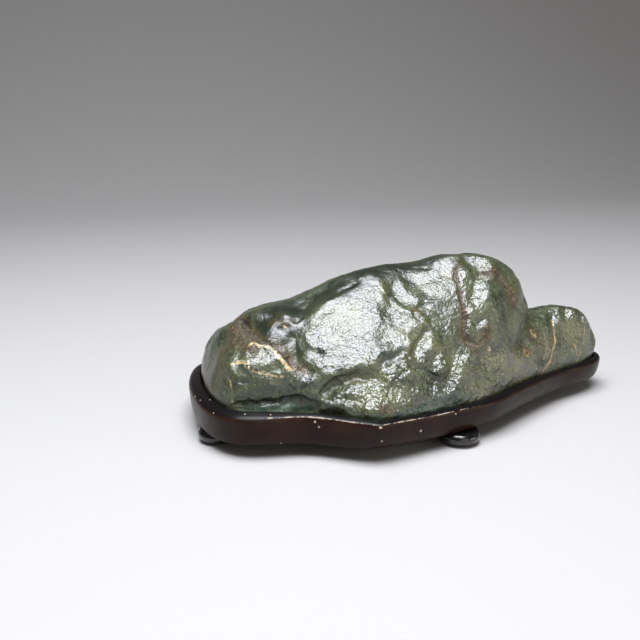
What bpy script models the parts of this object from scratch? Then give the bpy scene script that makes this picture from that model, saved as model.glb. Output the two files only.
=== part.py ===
"""A suiseki viewing stone resting in its carved wooden stand on four bun feet.

Metres, +Z up. The origin is on the surface that the feet stand on, under the middle of the
object. +X runs along the length, towards the low tail of the stone, and the front faces -Y.
"""

import math

import bmesh
import bpy
import numpy as np
from mathutils import Vector, noise

MM = 0.001

# Heights above the table, in millimetres.
STAND_UNDERSIDE = 8.5
SEAT_FLOOR = 15.5
RIM_LEFT = 25.5
RIM_MIDDLE = 24.0
RIM_TAIL = 22.2
RIM_LEFT_ENDS_X = (-45.0, -5.0)
RIM_TAIL_STARTS_X = (60.0, 110.0)

# The rim of the stand seen from above, clockwise from the tail, in millimetres:
# x, y, width of the sloping lip, tuck of the wall at its foot.
RIM = [
    (148.4, 31.0, 4.5, 3.0),
    (145.6, 20.5, 4.5, 3.0),
    (137.0, 11.8, 4.5, 3.0),
    (122.0, 3.6, 3.8, 3.2),
    (106.0, -2.6, 3.8, 3.4),
    (88.0, -12.9, 4.2, 4.2),
    (60.0, -31.2, 5.4, 5.0),
    (37.0, -47.0, 5.4, 4.4),
    (15.0, -55.6, 4.8, 3.8),
    (-10.0, -62.2, 4.2, 3.9),
    (-32.0, -68.8, 3.9, 5.2),
    (-49.8, -74.0, 5.4, 7.6),
    (-62.0, -66.6, 5.4, 3.6),
    (-77.0, -56.2, 5.3, 2.4),
    (-90.0, -50.2, 5.3, 3.0),
    (-112.0, -48.5, 8.2, 3.5),
    (-128.0, -44.0, 8.0, 2.6),
    (-139.5, -31.0, 7.6, 1.6),
    (-146.2, -12.0, 8.0, 1.2),
    (-148.5, 14.0, 8.2, 1.8),
    (-146.6, 38.0, 8.0, 3.2),
    (-141.0, 57.0, 6.4, 3.4),
    (-129.0, 70.0, 5.6, 3.6),
    (-108.0, 73.9, 5.2, 3.6),
    (-84.0, 71.4, 5.0, 3.6),
    (-56.0, 70.2, 5.0, 3.6),
    (-24.0, 73.2, 5.2, 3.6),
    (10.0, 73.2, 5.2, 3.6),
    (42.0, 66.4, 5.2, 3.6),
    (70.0, 57.6, 5.0, 3.6),
    (98.0, 54.0, 4.8, 3.6),
    (126.0, 50.4, 4.6, 3.4),
    (142.0, 42.4, 4.6, 3.2),
]
CORNER = 11
STEPS_PER_SPAN = 3
EASING = 3

# The section of the stand's wall, from its foot to its rim: share of the height, share of the tuck.
WALL = [(0.0, 1.0), (0.08, 0.72), (0.22, 0.44), (0.42, 0.2), (0.66, 0.06), (0.94, 0.0)]
FOOT_ROUNDING = 1.2
RIM_ROUNDING = 0.5
# The section of the lip, from the rim to the stone: share of the width, share of the rise.
LIP = [(0.18, 0.42), (0.5, 0.78), (0.86, 1.0), (1.0, 0.9)]
LIP_SLOPE = 0.44

# The bun feet: radius at the waist, radius of the flat they stand on, and their centres.
BUN_RADIUS = 13.0
BUN_FLAT = 5.0
BUN_SIDES = 24
BUN_STEPS = 5
SEAT_GAP = 0.3
SIDE_GAP = 0.8
BUNS = {
    "foot_front_left": (-134.0, -9.0),
    "foot_front_right": (9.5, -48.0),
    "foot_back_left": (-112.0, 58.0),
    "foot_back_right": (112.0, 32.0),
}

# The ridge of the stone, from its left end to its tail: x, y, height, and how full the stone is
# between the ridge and its foot at the front and at the back (1 is a straight slope, 2 a round).
RIDGE = [
    (-119.0, 13.0, 67.0, 1.6, 1.8),
    (-111.0, 13.0, 74.4, 2.0, 1.9),
    (-100.0, 12.0, 78.4, 2.3, 1.9),
    (-84.0, 9.0, 80.0, 2.0, 1.9),
    (-70.0, 8.0, 85.6, 1.7, 1.8),
    (-56.0, 8.0, 93.6, 1.5, 1.7),
    (-42.0, 8.0, 98.2, 1.45, 1.7),
    (-20.0, 8.0, 101.4, 1.45, 1.7),
    (4.0, 8.0, 103.0, 1.45, 1.7),
    (16.0, 8.0, 107.4, 1.5, 1.7),
    (40.0, 8.0, 106.6, 1.6, 1.8),
    (56.0, 9.0, 100.8, 1.7, 1.8),
    (67.0, 11.0, 91.6, 1.8, 1.8),
    (76.0, 14.0, 76.0, 1.9, 1.9),
    (82.0, 17.0, 66.0, 2.0, 1.9),
    (89.0, 20.0, 62.0, 2.0, 1.9),
    (96.0, 22.0, 63.0, 2.1, 1.9),
    (110.0, 24.0, 64.6, 2.1, 1.9),
    (118.0, 25.0, 61.6, 2.0, 2.0),
]
RIDGE_STEPS = 16
FOOT_STEPS_PER_SPAN = 12
SKIN_VOXEL = 2.4
SKIN_EASING = 8
STONE_SHARE_KEPT = 0.157

# Flat faces broken on the stone: a point on the face, its outward normal, its reach. They take away
# this share of what stands proud of them.
FACET_SHARE = 0.9
FACETS = [
    ((-135.0, -8.0, 43.0), (-0.90, -0.36, 0.26), 30.0),
    ((-110.0, -35.6, 42.0), (-0.29, -0.93, 0.24), 32.0),
    ((-123.4, 12.0, 63.3), (-0.64, -0.18, 0.75), 30.0),
    ((-58.0, -30.0, 72.5), (-0.30, -0.58, 0.76), 46.0),
    ((-18.0, -16.0, 88.0), (0.02, -0.55, 0.84), 32.0),
    ((-36.0, -57.0, 44.0), (0.10, -0.86, 0.50), 30.0),
    ((2.0, -40.0, 60.0), (0.16, -0.80, 0.58), 22.0),
    ((66.0, -10.0, 66.0), (0.66, -0.70, 0.26), 24.0),
    ((72.5, 10.0, 80.5), (0.84, 0.10, 0.52), 20.0),
    ((112.0, 9.0, 46.0), (0.34, -0.84, 0.42), 22.0),
    ((135.0, 26.0, 47.0), (0.86, -0.10, 0.50), 24.0),
    ((-100.0, 56.0, 56.0), (-0.22, 0.82, 0.52), 34.0),
    ((-30.0, 50.0, 72.0), (0.04, 0.74, 0.68), 44.0),
    ((34.0, 46.0, 78.0), (0.24, 0.80, 0.55), 34.0),
    ((20.0, 60.0, 44.0), (0.12, 0.96, 0.26), 32.0),
    ((104.0, 43.0, 45.0), (0.14, 0.88, 0.46), 26.0),
]

# Swellings: centre, radius along x, y and z, height. The flat faces are cut into them.
SWELLINGS = [
    ((-127.0, -26.0, 46.0), (13.0, 13.0, 15.0), 3.6),
    ((-106.0, -38.0, 42.0), (20.0, 12.0, 12.0), 2.0),
    ((-107.0, -29.0, 58.0), (13.0, 11.0, 9.0), 3.4),
    ((-52.0, -34.0, 70.0), (22.0, 20.0, 20.0), 2.6),
    ((-28.0, -22.0, 84.0), (13.0, 10.0, 9.0), 1.8),
    ((2.0, -26.0, 80.0), (12.0, 10.0, 13.0), 1.6),
    ((-2.0, -46.0, 55.0), (10.0, 9.0, 8.0), 2.4),
    ((40.0, -20.0, 75.0), (13.0, 12.0, 20.0), 4.4),
    ((30.0, -6.0, 98.0), (12.0, 10.0, 8.0), 1.6),
    ((44.0, -33.0, 44.0), (20.0, 12.0, 10.0), 1.8),
    ((84.0, 2.0, 52.0), (9.0, 9.0, 12.0), 2.0),
    ((112.0, 12.0, 54.0), (12.0, 9.0, 9.0), 2.2),
    ((-60.0, 50.0, 66.0), (20.0, 16.0, 16.0), 3.2),
    ((56.0, 44.0, 62.0), (14.0, 12.0, 14.0), 2.8),
]

# Hollows worn into the faces: centre, radius along x, y and z, depth.
HOLLOWS = [
    ((-108.0, -35.0, 42.0), (18.0, 10.0, 8.0), 1.6),
    ((-104.0, -16.0, 71.0), (9.0, 8.0, 8.0), 3.2),
    ((-96.0, -17.0, 73.0), (5.0, 5.0, 6.0), 2.6),
    ((-84.0, -36.0, 57.0), (10.0, 14.0, 14.0), 3.6),
    ((-35.0, -45.0, 61.0), (8.0, 9.0, 7.0), 3.0),
    ((-58.0, -54.0, 47.0), (12.0, 10.0, 6.0), 2.4),
    ((67.0, -14.0, 48.0), (6.0, 6.0, 7.0), 1.8),
    ((0.0, 62.0, 54.0), (16.0, 12.0, 12.0), 3.4),
    ((-112.0, 40.0, 66.0), (12.0, 12.0, 10.0), 2.6),
    ((-20.0, 26.0, 97.0), (18.0, 9.0, 9.0), 2.0),
]

# Creases, cracks and seams: depth, half width, and the route. They fade out at their ends.
CREASES = [
    (3.6, 2.6, [(-115, 13, 70), (-114, 0, 69), (-111, -13, 67), (-107, -22, 65), (-98, -31, 61)]),
    (3.2, 2.4, [(-98, -31, 61), (-92, -36, 56), (-87, -39, 53)]),
    (3.2, 5.0, [(-72, 6, 85), (-79, -10, 78), (-86, -26, 67), (-86, -38, 55), (-84, -44, 42)]),
    (3.4, 4.0, [(-13, -20, 85), (-16, -31, 75), (-12, -37, 68), (-19, -43, 61), (-24, -49, 55)]),
    (2.8, 3.4, [(-24, -49, 55), (-18, -51, 50), (-11, -51, 45), (-6, -55, 38)]),
    (2.4, 2.2, [(37, 4, 104), (26, -2, 102), (18, -10, 96), (16, -15, 92), (17, -20, 86)]),
    (2.4, 2.2, [(17, -20, 86), (18, -26, 79), (16, -31, 71), (16, -36, 63), (20, -39, 56)]),
    (1.8, 2.2, [(37, -1, 101), (42, -7, 96), (49, -6, 93), (52, -9, 88), (56, -11, 82), (59, -13, 76)]),
    (1.6, 2.4, [(42, -8, 94), (33, -12, 93), (29, -18, 87), (24, -23, 82), (24, -28, 76)]),
    (3.4, 5.0, [(86, 20, 60), (80, 6, 62), (71, -11, 59), (62, -20, 52), (54, -26, 44)]),
    (1.6, 3.0, [(-60, -14, 84), (-50, -26, 76), (-38, -31, 73), (-24, -34, 72)]),
    (2.6, 3.0, [(-66, 20, 86), (-60, 38, 76), (-66, 54, 60), (-60, 62, 44), (-64, 66, 32)]),
    (3.0, 3.4, [(8, 18, 102), (14, 34, 94), (8, 48, 80), (14, 58, 64), (8, 64, 46)]),
    (2.6, 4.0, [(84, 24, 60), (82, 36, 56), (76, 46, 48), (80, 52, 34)]),
    (2.0, 2.4, [(-118, 24, 66), (-122, 38, 58), (-116, 52, 50), (-118, 58, 38)]),
    (1.4, 1.8, [(100, 22, 65), (98, 10, 58), (98, 3, 47), (94, -2, 36), (88, -6, 28)]),
]

# Ledges: how far the lower side is set back, how wide that step fades, and the route.
LEDGES = [
    (1.2, 7.0, [(-129, -30, 31), (-120, -36, 33), (-111, -39, 34), (-103, -41, 35), (-89, -44, 36)]),
    (1.8, 11.0, [(-126, -19, 52), (-116, -27, 52), (-110, -34, 49), (-105, -37, 48), (-96, -39, 47)]),
    (2.6, 12.0, [(-80, -46, 40), (-73, -47, 47), (-66, -48, 51), (-54, -50, 56), (-42, -46, 62)]),
    (2.4, 12.0, [(-44, -57, 47), (-32, -58, 47), (-20, -56, 46), (-8, -52, 48)]),
    (2.2, 10.0, [(24, -38, 54), (36, -35, 50), (48, -30, 46), (60, -22, 44)]),
    (3.0, 14.0, [(-90, 60, 50), (-74, 64, 52), (-56, 64, 50), (-40, 66, 46)]),
    (3.4, 14.0, [(-30, 58, 62), (-8, 60, 66), (16, 58, 66), (38, 52, 60), (54, 50, 50)]),
]

# The share of a crease or a ledge over which it fades out at either end.
FADING_ENDS = 0.14
# How far a crease or a ledge wanders off its route, and over what length.
WANDER = 1.6
WANDER_LENGTH = 9.0
# Lumps of the weathered skin, from coarse to fine: their size and height.
LUMPS = [(46.0, 2.4), (22.0, 1.5), (10.0, 0.7)]
# Broken steps that run down across the lower front, finer and sharper than the lumps.
STEP_SIZE = (15.0, 7.0)
STEP_HEIGHT = 1.5
STEP_TURN = math.radians(38.0)

# Linear base colours.
STONE_COLOUR = (0.075, 0.105, 0.075)
STAND_COLOUR = (0.020, 0.013, 0.011)
FOOT_COLOUR = (0.008, 0.008, 0.009)
SHARP_ANGLE = math.radians(40.0)


def smooth(low, high, value):
    """0 below low, 1 above high, and a soft step between them."""
    share = np.clip((np.asarray(value, float) - low) / (high - low), 0.0, 1.0)
    return share * share * (3.0 - 2.0 * share)


def rim_height(x):
    """Height of the stand's outer rim, which falls towards the tail."""
    drop_middle = (RIM_LEFT - RIM_MIDDLE) * smooth(*RIM_LEFT_ENDS_X, x)
    drop_tail = (RIM_MIDDLE - RIM_TAIL) * smooth(*RIM_TAIL_STARTS_X, x)
    return RIM_LEFT - drop_middle - drop_tail


def rim_samples(steps=STEPS_PER_SPAN):
    """Points along the rim with their lip and tuck, on a smooth curve with one sharp corner."""
    points = np.array(RIM[CORNER:] + RIM[:CORNER] + [RIM[CORNER]])
    samples = []
    for i in range(len(points) - 1):
        before = points[i - 1] if i > 0 else 2 * points[0] - points[1]
        after = points[i + 2] if i + 2 < len(points) else 2 * points[-1] - points[-2]
        start, end = points[i], points[i + 1]
        for step in range(steps):
            t = step / steps
            samples.append(
                0.5
                * (
                    2 * start
                    + (end - before) * t
                    + (2 * before - 5 * start + 4 * end - after) * t * t
                    + (3 * start - before - 3 * end + after) * t**3
                )
            )
    return np.array(samples)


def eased(outline):
    """The outline with its one sharp corner worn round over the same length at any spacing."""
    spacing = len(outline) / (len(RIM) * STEPS_PER_SPAN)
    for _ in range(round(EASING * spacing**2)):
        outline = 0.5 * outline + 0.25 * (np.roll(outline, 1, axis=0) + np.roll(outline, -1, axis=0))
    return outline


def inward(outline):
    """The unit vector into the outline at each of its points."""
    ahead = np.roll(outline, -1, axis=0) - outline
    behind = outline - np.roll(outline, 1, axis=0)
    ahead /= np.linalg.norm(ahead, axis=1)[:, None]
    behind /= np.linalg.norm(behind, axis=1)[:, None]
    along = ahead + behind
    along /= np.linalg.norm(along, axis=1)[:, None]
    return np.stack([along[:, 1], -along[:, 0]], axis=1)


def ring(outline, heights):
    """Three columns from a plan outline and its heights."""
    heights = np.broadcast_to(heights, len(outline))
    return np.column_stack([outline, heights])


def finish(name, colour, roughness, coat):
    """A plain painted or polished finish."""
    material = bpy.data.materials.new(name)
    material.use_nodes = True
    shader = material.node_tree.nodes["Principled BSDF"]
    shader.inputs["Base Color"].default_value = (*colour, 1.0)
    shader.inputs["Roughness"].default_value = roughness
    shader.inputs["Metallic"].default_value = 0.0
    shader.inputs["Coat Weight"].default_value = coat
    material.diffuse_color = (*colour, 1.0)
    return material


def mesh_object(name, bm):
    """A bmesh in millimetres as a named object in metres."""
    bmesh.ops.scale(bm, vec=(MM, MM, MM), verts=bm.verts)
    bmesh.ops.recalc_face_normals(bm, faces=bm.faces)
    mesh = bpy.data.meshes.new(name)
    bm.to_mesh(mesh)
    bm.free()
    return bpy.data.objects.new(name, mesh)


def loft(rings, top=True):
    """A bmesh through the rings, with a flat face over the first, and one over the last if asked."""
    bm = bmesh.new()
    loops = [[bm.verts.new(Vector(point)) for point in one] for one in rings]
    for low, high in zip(loops[:-1], loops[1:]):
        for i in range(len(low)):
            j = (i + 1) % len(low)
            bm.faces.new((low[i], low[j], high[j], high[i]))
    bm.faces.new(loops[0])
    if top:
        bm.faces.new(loops[-1])
    return bm


def stand_rings():
    """The stand from the edge of its underside, up its wall, over its lip and down to the seat."""
    samples = rim_samples()
    outline, lip, tuck = samples[:, :2], samples[:, 2], samples[:, 3]
    into = inward(outline)
    rim = rim_height(outline[:, 0])
    rise = lip * LIP_SLOPE
    rings = [ring(eased(outline) + into * (tuck + FOOT_ROUNDING)[:, None], STAND_UNDERSIDE)]
    start = STAND_UNDERSIDE + FOOT_ROUNDING * 0.4
    for share, tucked in WALL:
        plan = eased(outline) + (outline - eased(outline)) * share**2
        rings.append(ring(plan + into * (tuck * tucked)[:, None], start + (rim - start) * share))
    rings.append(ring(outline + into * RIM_ROUNDING, rim))
    seat = eased(outline + into * lip[:, None])
    for across, up in LIP:
        plan = outline + (seat - outline) * across
        rings.append(ring(plan, rim + rise * up))
    rings.append(ring(seat, SEAT_FLOOR))
    return rings


def stone_foot():
    """The plan outline of the stone in its seat, the way into it, and the lip's height there."""
    samples = rim_samples(FOOT_STEPS_PER_SPAN)
    outline, lip = samples[:, :2], samples[:, 2]
    into = inward(outline)
    foot = eased(outline + into * lip[:, None]) + into * SIDE_GAP
    return foot, into, rim_height(outline[:, 0]) + lip * LIP_SLOPE


def stone_rings():
    """The stone before it is sculpted: rings from its underside, up past the lip, to its ridge."""
    foot, into, lip_top = stone_foot()
    table = np.array(RIDGE)
    along = np.clip(foot[:, 0], table[0, 0], table[-1, 0])
    ridge = np.column_stack([np.interp(along, table[:, 0], table[:, i]) for i in range(1, 5)])
    top = np.column_stack([along, ridge[:, 0]])
    full = np.where(foot[:, 1] < ridge[:, 0], ridge[:, 2], ridge[:, 3])
    underside = SEAT_FLOOR + SEAT_GAP
    rings = [ring(foot + into * 2.0, underside), ring(foot, underside + 2.0)]
    for step in range(RIDGE_STEPS + 1):
        angle = math.radians(90.0 * step / RIDGE_STEPS)
        out = np.power(max(math.cos(angle), 0.0), 2.0 / full)
        up = np.power(math.sin(angle), 2.0 / full)
        plan = top + (foot - top) * out[:, None]
        rings.append(ring(plan, lip_top + (ridge[:, 1] - lip_top) * up))
    return rings


def bun_foot(name, place):
    """A turned foot: a squashed ball with a flat underside, flat on top against the stand."""
    top = STAND_UNDERSIDE - SEAT_GAP
    profile = [(0.0, top)]
    for step in range(BUN_STEPS + 1):
        angle = math.radians(36.0 - 126.0 * step / BUN_STEPS)
        out = BUN_FLAT + (BUN_RADIUS - BUN_FLAT) * math.cos(angle)
        up = top * (1.0 + math.sin(angle)) / (1.0 + math.sin(math.radians(36.0)))
        profile.append((out, up))
    profile.append((0.0, 0.0))
    mesh = bpy.data.meshes.new(name)
    verts = [(r * MM, 0.0, z * MM) for r, z in profile]
    mesh.from_pydata(verts, [(i, i + 1) for i in range(len(verts) - 1)], [])
    obj = bpy.data.objects.new(name, mesh)
    turn = obj.modifiers.new("turn", "SCREW")
    turn.steps = BUN_SIDES
    turn.render_steps = BUN_SIDES
    turn.use_merge_vertices = True
    turn.merge_threshold = 0.00001
    obj.location = (place[0] * MM, place[1] * MM, 0.0)
    return obj


def applied(obj):
    """The object's mesh with its modifiers applied, and no modifiers left."""
    graph = bpy.context.evaluated_depsgraph_get()
    mesh = bpy.data.meshes.new_from_object(obj.evaluated_get(graph))
    obj.modifiers.clear()
    obj.data = mesh
    return mesh


def nearest_on_route(points, route):
    """For each point: its distance to the route, the route's nearest point and direction, and how
    strong the route still is there, from 0 at its ends to 1."""
    route = np.array(route, float)
    lengths = np.linalg.norm(np.diff(route, axis=0), axis=1)
    best = np.full(len(points), np.inf)
    foot = np.zeros_like(points)
    direction = np.zeros_like(points)
    along = np.zeros(len(points))
    for i, (start, end) in enumerate(zip(route[:-1], route[1:])):
        leg = end - start
        share = np.clip((points - start) @ leg / (leg @ leg), 0.0, 1.0)
        close = start + share[:, None] * leg
        distance = np.linalg.norm(points - close, axis=1)
        nearer = distance < best
        best[nearer] = distance[nearer]
        foot[nearer] = close[nearer]
        direction[nearer] = leg / lengths[i]
        along[nearer] = (lengths[:i].sum() + share[nearer] * lengths[i]) / lengths.sum()
    strength = smooth(0.0, FADING_ENDS, along) * smooth(1.0, 1.0 - FADING_ENDS, along)
    return best, foot, direction, strength


def wandering(points):
    """The points shifted a little, so that routes measured from them wander."""
    shifts = [noise.noise_vector(Vector(p) / WANDER_LENGTH) for p in points]
    return points + WANDER * np.array(shifts)


def facet(points, centre, normal, reach):
    """Cut what stands proud of a flat face, and let the cut fade out at its reach."""
    normal = np.array(normal) / np.linalg.norm(normal)
    away = points - np.array(centre)
    proud = np.maximum(away @ normal, 0.0)
    fade = 1.0 - smooth(0.75 * reach, 1.25 * reach, np.linalg.norm(away, axis=1))
    return -normal * (FACET_SHARE * proud * fade)[:, None]


def swelling(points, normals, centre, radii, height):
    """Raise a soft swelling, or sink a hollow where the height is below zero."""
    away = (points - np.array(centre)) / np.array(radii)
    return normals * (height * np.exp(-np.sum(away**2, axis=1)))[:, None]


def crease(points, normals, depth, width, route):
    """Cut a crease with steep sides and a narrow bottom."""
    distance, _, _, strength = nearest_on_route(points, route)
    return -normals * (depth * strength * np.exp(-np.abs(distance / width) ** 1.5))[:, None]


def ledge(points, normals, drop, fade, route):
    """Set back the surface just below a route that runs with +X, sharply at the route."""
    distance, foot, direction, strength = nearest_on_route(points, route)
    below = np.sum((foot - points) * np.cross(direction, [0.0, 1.0, 0.0]), axis=1)
    step = smooth(-1.2, 2.0, below) * np.exp(-((distance / fade) ** 2))
    return -normals * (drop * strength * step)[:, None]


def lumps(points, normals, size, height):
    """Weathered lumps of one size."""
    shift = Vector((size, 2.0 * size, 3.0 * size))
    heights = [noise.noise((Vector(p) + shift) / size) for p in points]
    return normals * (height * np.array(heights))[:, None]


def broken_steps(points, normals):
    """Small flat steps, like split layers, over the lower front."""
    turned = np.column_stack(
        [
            points[:, 0] * math.cos(STEP_TURN) + points[:, 2] * math.sin(STEP_TURN),
            points[:, 1],
            points[:, 2] * math.cos(STEP_TURN) - points[:, 0] * math.sin(STEP_TURN),
        ]
    )
    scaled = turned / np.array([STEP_SIZE[0], STEP_SIZE[1], STEP_SIZE[1]])
    chips = [noise.cell(Vector(noise.voronoi(Vector(p))[1][0]) * 7.3) for p in scaled]
    low_front = smooth(64.0, 44.0, points[:, 2]) * smooth(-20.0, -44.0, points[:, 1])
    return normals * (STEP_HEIGHT * (np.array(chips) - 0.5) * low_front)[:, None]


def sculpt(mesh):
    """Work the even skin into the weathered stone, leaving what stands in the seat alone."""
    count = len(mesh.vertices)
    points = np.empty(count * 3)
    mesh.vertices.foreach_get("co", points)
    points = points.reshape(-1, 3) / MM
    start = points.copy()
    seat = smooth(3.4, 6.4, points[:, 2] - rim_height(points[:, 0]))[:, None]
    wander = wandering(start)

    def normals():
        mesh.vertices.foreach_set("co", (points * MM).ravel())
        mesh.update()
        found = np.empty(count * 3)
        mesh.vertices.foreach_get("normal", found)
        return found.reshape(-1, 3)

    facing = normals()
    for centre, radii, height in SWELLINGS:
        points = points + swelling(start, facing, centre, radii, height) * seat
    for centre, normal, reach in FACETS:
        points = points + facet(points, centre, normal, reach) * seat
    facing = normals()
    for centre, radii, depth in HOLLOWS:
        points = points + swelling(start, facing, centre, radii, -depth) * seat
    for drop, fade, route in LEDGES:
        points = points + ledge(wander, facing, drop, fade, route) * seat
    for size, height in LUMPS:
        points = points + lumps(start, facing, size, height) * seat
    points = points + broken_steps(start, facing) * seat
    facing = normals()
    for depth, width, route in CREASES:
        points = points + crease(wander, facing, depth, width, route) * seat
    mesh.vertices.foreach_set("co", (points * MM).ravel())
    mesh.update()


def stand():
    """The carved stand, with its seat hollowed out of the top."""
    return mesh_object("daiza", loft(stand_rings()))


def stone():
    """The stone: lofted to its ridge, given an even skin, sculpted, then thinned where it is flat."""
    obj = mesh_object("stone", loft(stone_rings(), top=False))
    bpy.context.scene.collection.objects.link(obj)
    remesh = obj.modifiers.new("even skin", "REMESH")
    remesh.mode = "VOXEL"
    remesh.voxel_size = SKIN_VOXEL * MM
    ease = obj.modifiers.new("eased", "SMOOTH")
    ease.iterations = SKIN_EASING
    ease.factor = 0.5
    sculpt(applied(obj))
    thin = obj.modifiers.new("thinned", "DECIMATE")
    thin.ratio = STONE_SHARE_KEPT
    thin.use_collapse_triangulate = True
    bpy.context.scene.collection.objects.unlink(obj)
    return obj


def main():
    """Build the stand, its feet and the stone, each in its own finish."""
    for obj in list(bpy.data.objects):
        bpy.data.objects.remove(obj)
    collection = bpy.data.collections.new("suiseki_viewing_stone")
    bpy.context.scene.collection.children.link(collection)
    pieces = [(stand(), finish("lacquered_wood", STAND_COLOUR, 0.38, 0.3))]
    for name, place in BUNS.items():
        pieces.append((bun_foot(name, place), finish(f"lacquer_{name}", FOOT_COLOUR, 0.16, 0.6)))
    pieces.append((stone(), finish("waxed_stone", STONE_COLOUR, 0.42, 0.3)))
    for obj, material in pieces:
        obj.data.materials.append(material)
        obj.data.shade_smooth()
        obj.data.set_sharp_from_angle(angle=SHARP_ANGLE)
        collection.objects.link(obj)


if __name__ == "__main__":
    main()
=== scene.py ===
"""Looks of a suiseki viewing stone resting in its carved and lacquered stand.

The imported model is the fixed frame. Around it this script models the waxed stone with its veins and
cracks, the stand with its worn rim and the turned feet, and sets them on a plain pale floor under
soft studio light, seen as in the photograph.
"""

import contextlib
import enum
import logging
import math
from collections.abc import Callable, Iterator
from dataclasses import dataclass, field

import bmesh
import bpy
import numpy as np
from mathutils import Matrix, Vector, kdtree, noise


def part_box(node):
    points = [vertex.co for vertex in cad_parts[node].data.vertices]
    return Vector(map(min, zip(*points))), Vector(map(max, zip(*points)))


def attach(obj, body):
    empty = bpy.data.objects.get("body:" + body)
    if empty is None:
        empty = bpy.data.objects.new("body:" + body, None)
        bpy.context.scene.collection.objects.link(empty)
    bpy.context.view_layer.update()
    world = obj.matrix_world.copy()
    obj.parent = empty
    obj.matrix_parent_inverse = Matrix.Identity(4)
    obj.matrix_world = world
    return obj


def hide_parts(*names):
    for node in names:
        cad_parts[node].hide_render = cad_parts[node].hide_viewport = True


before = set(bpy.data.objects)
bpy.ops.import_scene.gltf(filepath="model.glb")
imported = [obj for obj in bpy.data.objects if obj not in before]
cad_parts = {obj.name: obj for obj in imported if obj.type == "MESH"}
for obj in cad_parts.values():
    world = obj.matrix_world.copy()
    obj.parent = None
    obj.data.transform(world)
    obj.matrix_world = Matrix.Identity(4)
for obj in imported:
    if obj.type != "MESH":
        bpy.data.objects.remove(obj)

MM = 0.001
# Vertices nearer than this are joined, in metres.
MERGE = 0.02 * MM
# How far one round of smoothing moves a vertex towards the middle of its neighbours.
EASE = 0.5
# The stand's rim lies above this height, and its seat below it, in millimetres.
RIM_FLOOR = 20.0
# The half width of the step at a ledge's edge, in millimetres.
LEDGE_EDGE = 0.7
BODY = "root"
LOG = logging.getLogger("viewing_stone")

Point = tuple[float, float, float]
Route = tuple[Point, ...]
Grain = tuple[float, float, float]
Socket = bpy.types.NodeSocket


def linear(hex_colour: str) -> tuple[float, float, float, float]:
    """Turn an sRGB hex colour to the linear colour that a shader takes.

    Args:
        hex_colour: A colour such as "#4B5A46".

    Returns:
        Linear red, green, blue and an alpha of 1.
    """
    parts = [int(hex_colour[i : i + 2], 16) / 255.0 for i in (1, 3, 5)]
    bright = [c / 12.92 if c <= 0.04045 else ((c + 0.055) / 1.055) ** 2.4 for c in parts]
    return (*bright, 1.0)


def per_metre(size_mm: float) -> float:
    """The scale, on Object coordinates, of a pattern whose features are size_mm across."""
    return 1.0 / (size_mm * MM)


def soft_step(low: float, high: float, value: np.ndarray) -> np.ndarray:
    """0 at low, 1 at high and a soft step between; low may be the higher of the two.

    Args:
        low: Where the step starts.
        high: Where it ends.
        value: The values to step.

    Returns:
        The step at each value.
    """
    share = np.clip((value - low) / (high - low), 0.0, 1.0)
    return share * share * (3.0 - 2.0 * share)


def unit(direction: Point) -> np.ndarray:
    """The direction with a length of 1."""
    return np.array(direction) / np.linalg.norm(direction)


def search_tree(places: list[Vector]) -> kdtree.KDTree:
    """Make places quick to search.

    Args:
        places: The places, which keep their order as their index.

    Returns:
        The balanced tree.
    """
    tree = kdtree.KDTree(len(places))
    for i, place in enumerate(places):
        tree.insert(place, i)
    tree.balance()
    return tree


def select_only(obj: bpy.types.Object) -> None:
    """Deselect everything, then select this object alone and make it active.

    Args:
        obj: The object.
    """
    bpy.ops.object.select_all(action="DESELECT")
    obj.select_set(True)
    bpy.context.view_layer.objects.active = obj


def apply_modifier(obj: bpy.types.Object, kind: str, **settings: object) -> None:
    """Add a modifier with its settings and apply it.

    Args:
        obj: The object to change.
        kind: The modifier's type name.
        **settings: Properties of the modifier.
    """
    select_only(obj)
    modifier = obj.modifiers.new(kind.lower(), kind)
    for name, value in settings.items():
        setattr(modifier, name, value)
    bpy.ops.object.modifier_apply(modifier=modifier.name)


@contextlib.contextmanager
def editing(obj: bpy.types.Object, kind: str = "FACE", action: str = "DESELECT") -> Iterator[None]:
    """Hold an object in edit mode.

    Args:
        obj: The object to edit.
        kind: What is selected: "VERT", "EDGE" or "FACE".
        action: Whether all of it is selected at the start, or nothing.

    Yields:
        Nothing; edit mode lasts as long as the block.
    """
    select_only(obj)
    bpy.ops.object.mode_set(mode="EDIT")
    bpy.ops.mesh.select_mode(type=kind)
    bpy.ops.mesh.select_all(action=action)
    yield
    bpy.ops.object.mode_set(mode="OBJECT")


def select_faces(obj: bpy.types.Object, wanted: Callable[[bmesh.types.BMFace], bool]) -> None:
    """Select the faces that a test picks out, in edit mode.

    Args:
        obj: The object in edit mode.
        wanted: The test of one face.
    """
    bm = bmesh.from_edit_mesh(obj.data)
    for face in bm.faces:
        face.select = wanted(face)
    bmesh.update_edit_mesh(obj.data)


def copy_of_node(node: str, name: str) -> bpy.types.Object:
    """A merged copy of a CAD node's mesh, as a new piece to work on.

    Args:
        node: The CAD node's name.
        name: The new piece's name.

    Returns:
        The new object, whose place is in its mesh.
    """
    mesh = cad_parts[node].data.copy()
    mesh.name = name
    mesh.materials.clear()
    piece = bpy.data.objects.new(name, mesh)
    bpy.context.scene.collection.objects.link(piece)
    select_only(piece)
    bpy.ops.mesh.customdata_custom_splitnormals_clear()
    with editing(piece, "VERT", "SELECT"):
        bpy.ops.mesh.remove_doubles(threshold=MERGE)
    return piece


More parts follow.
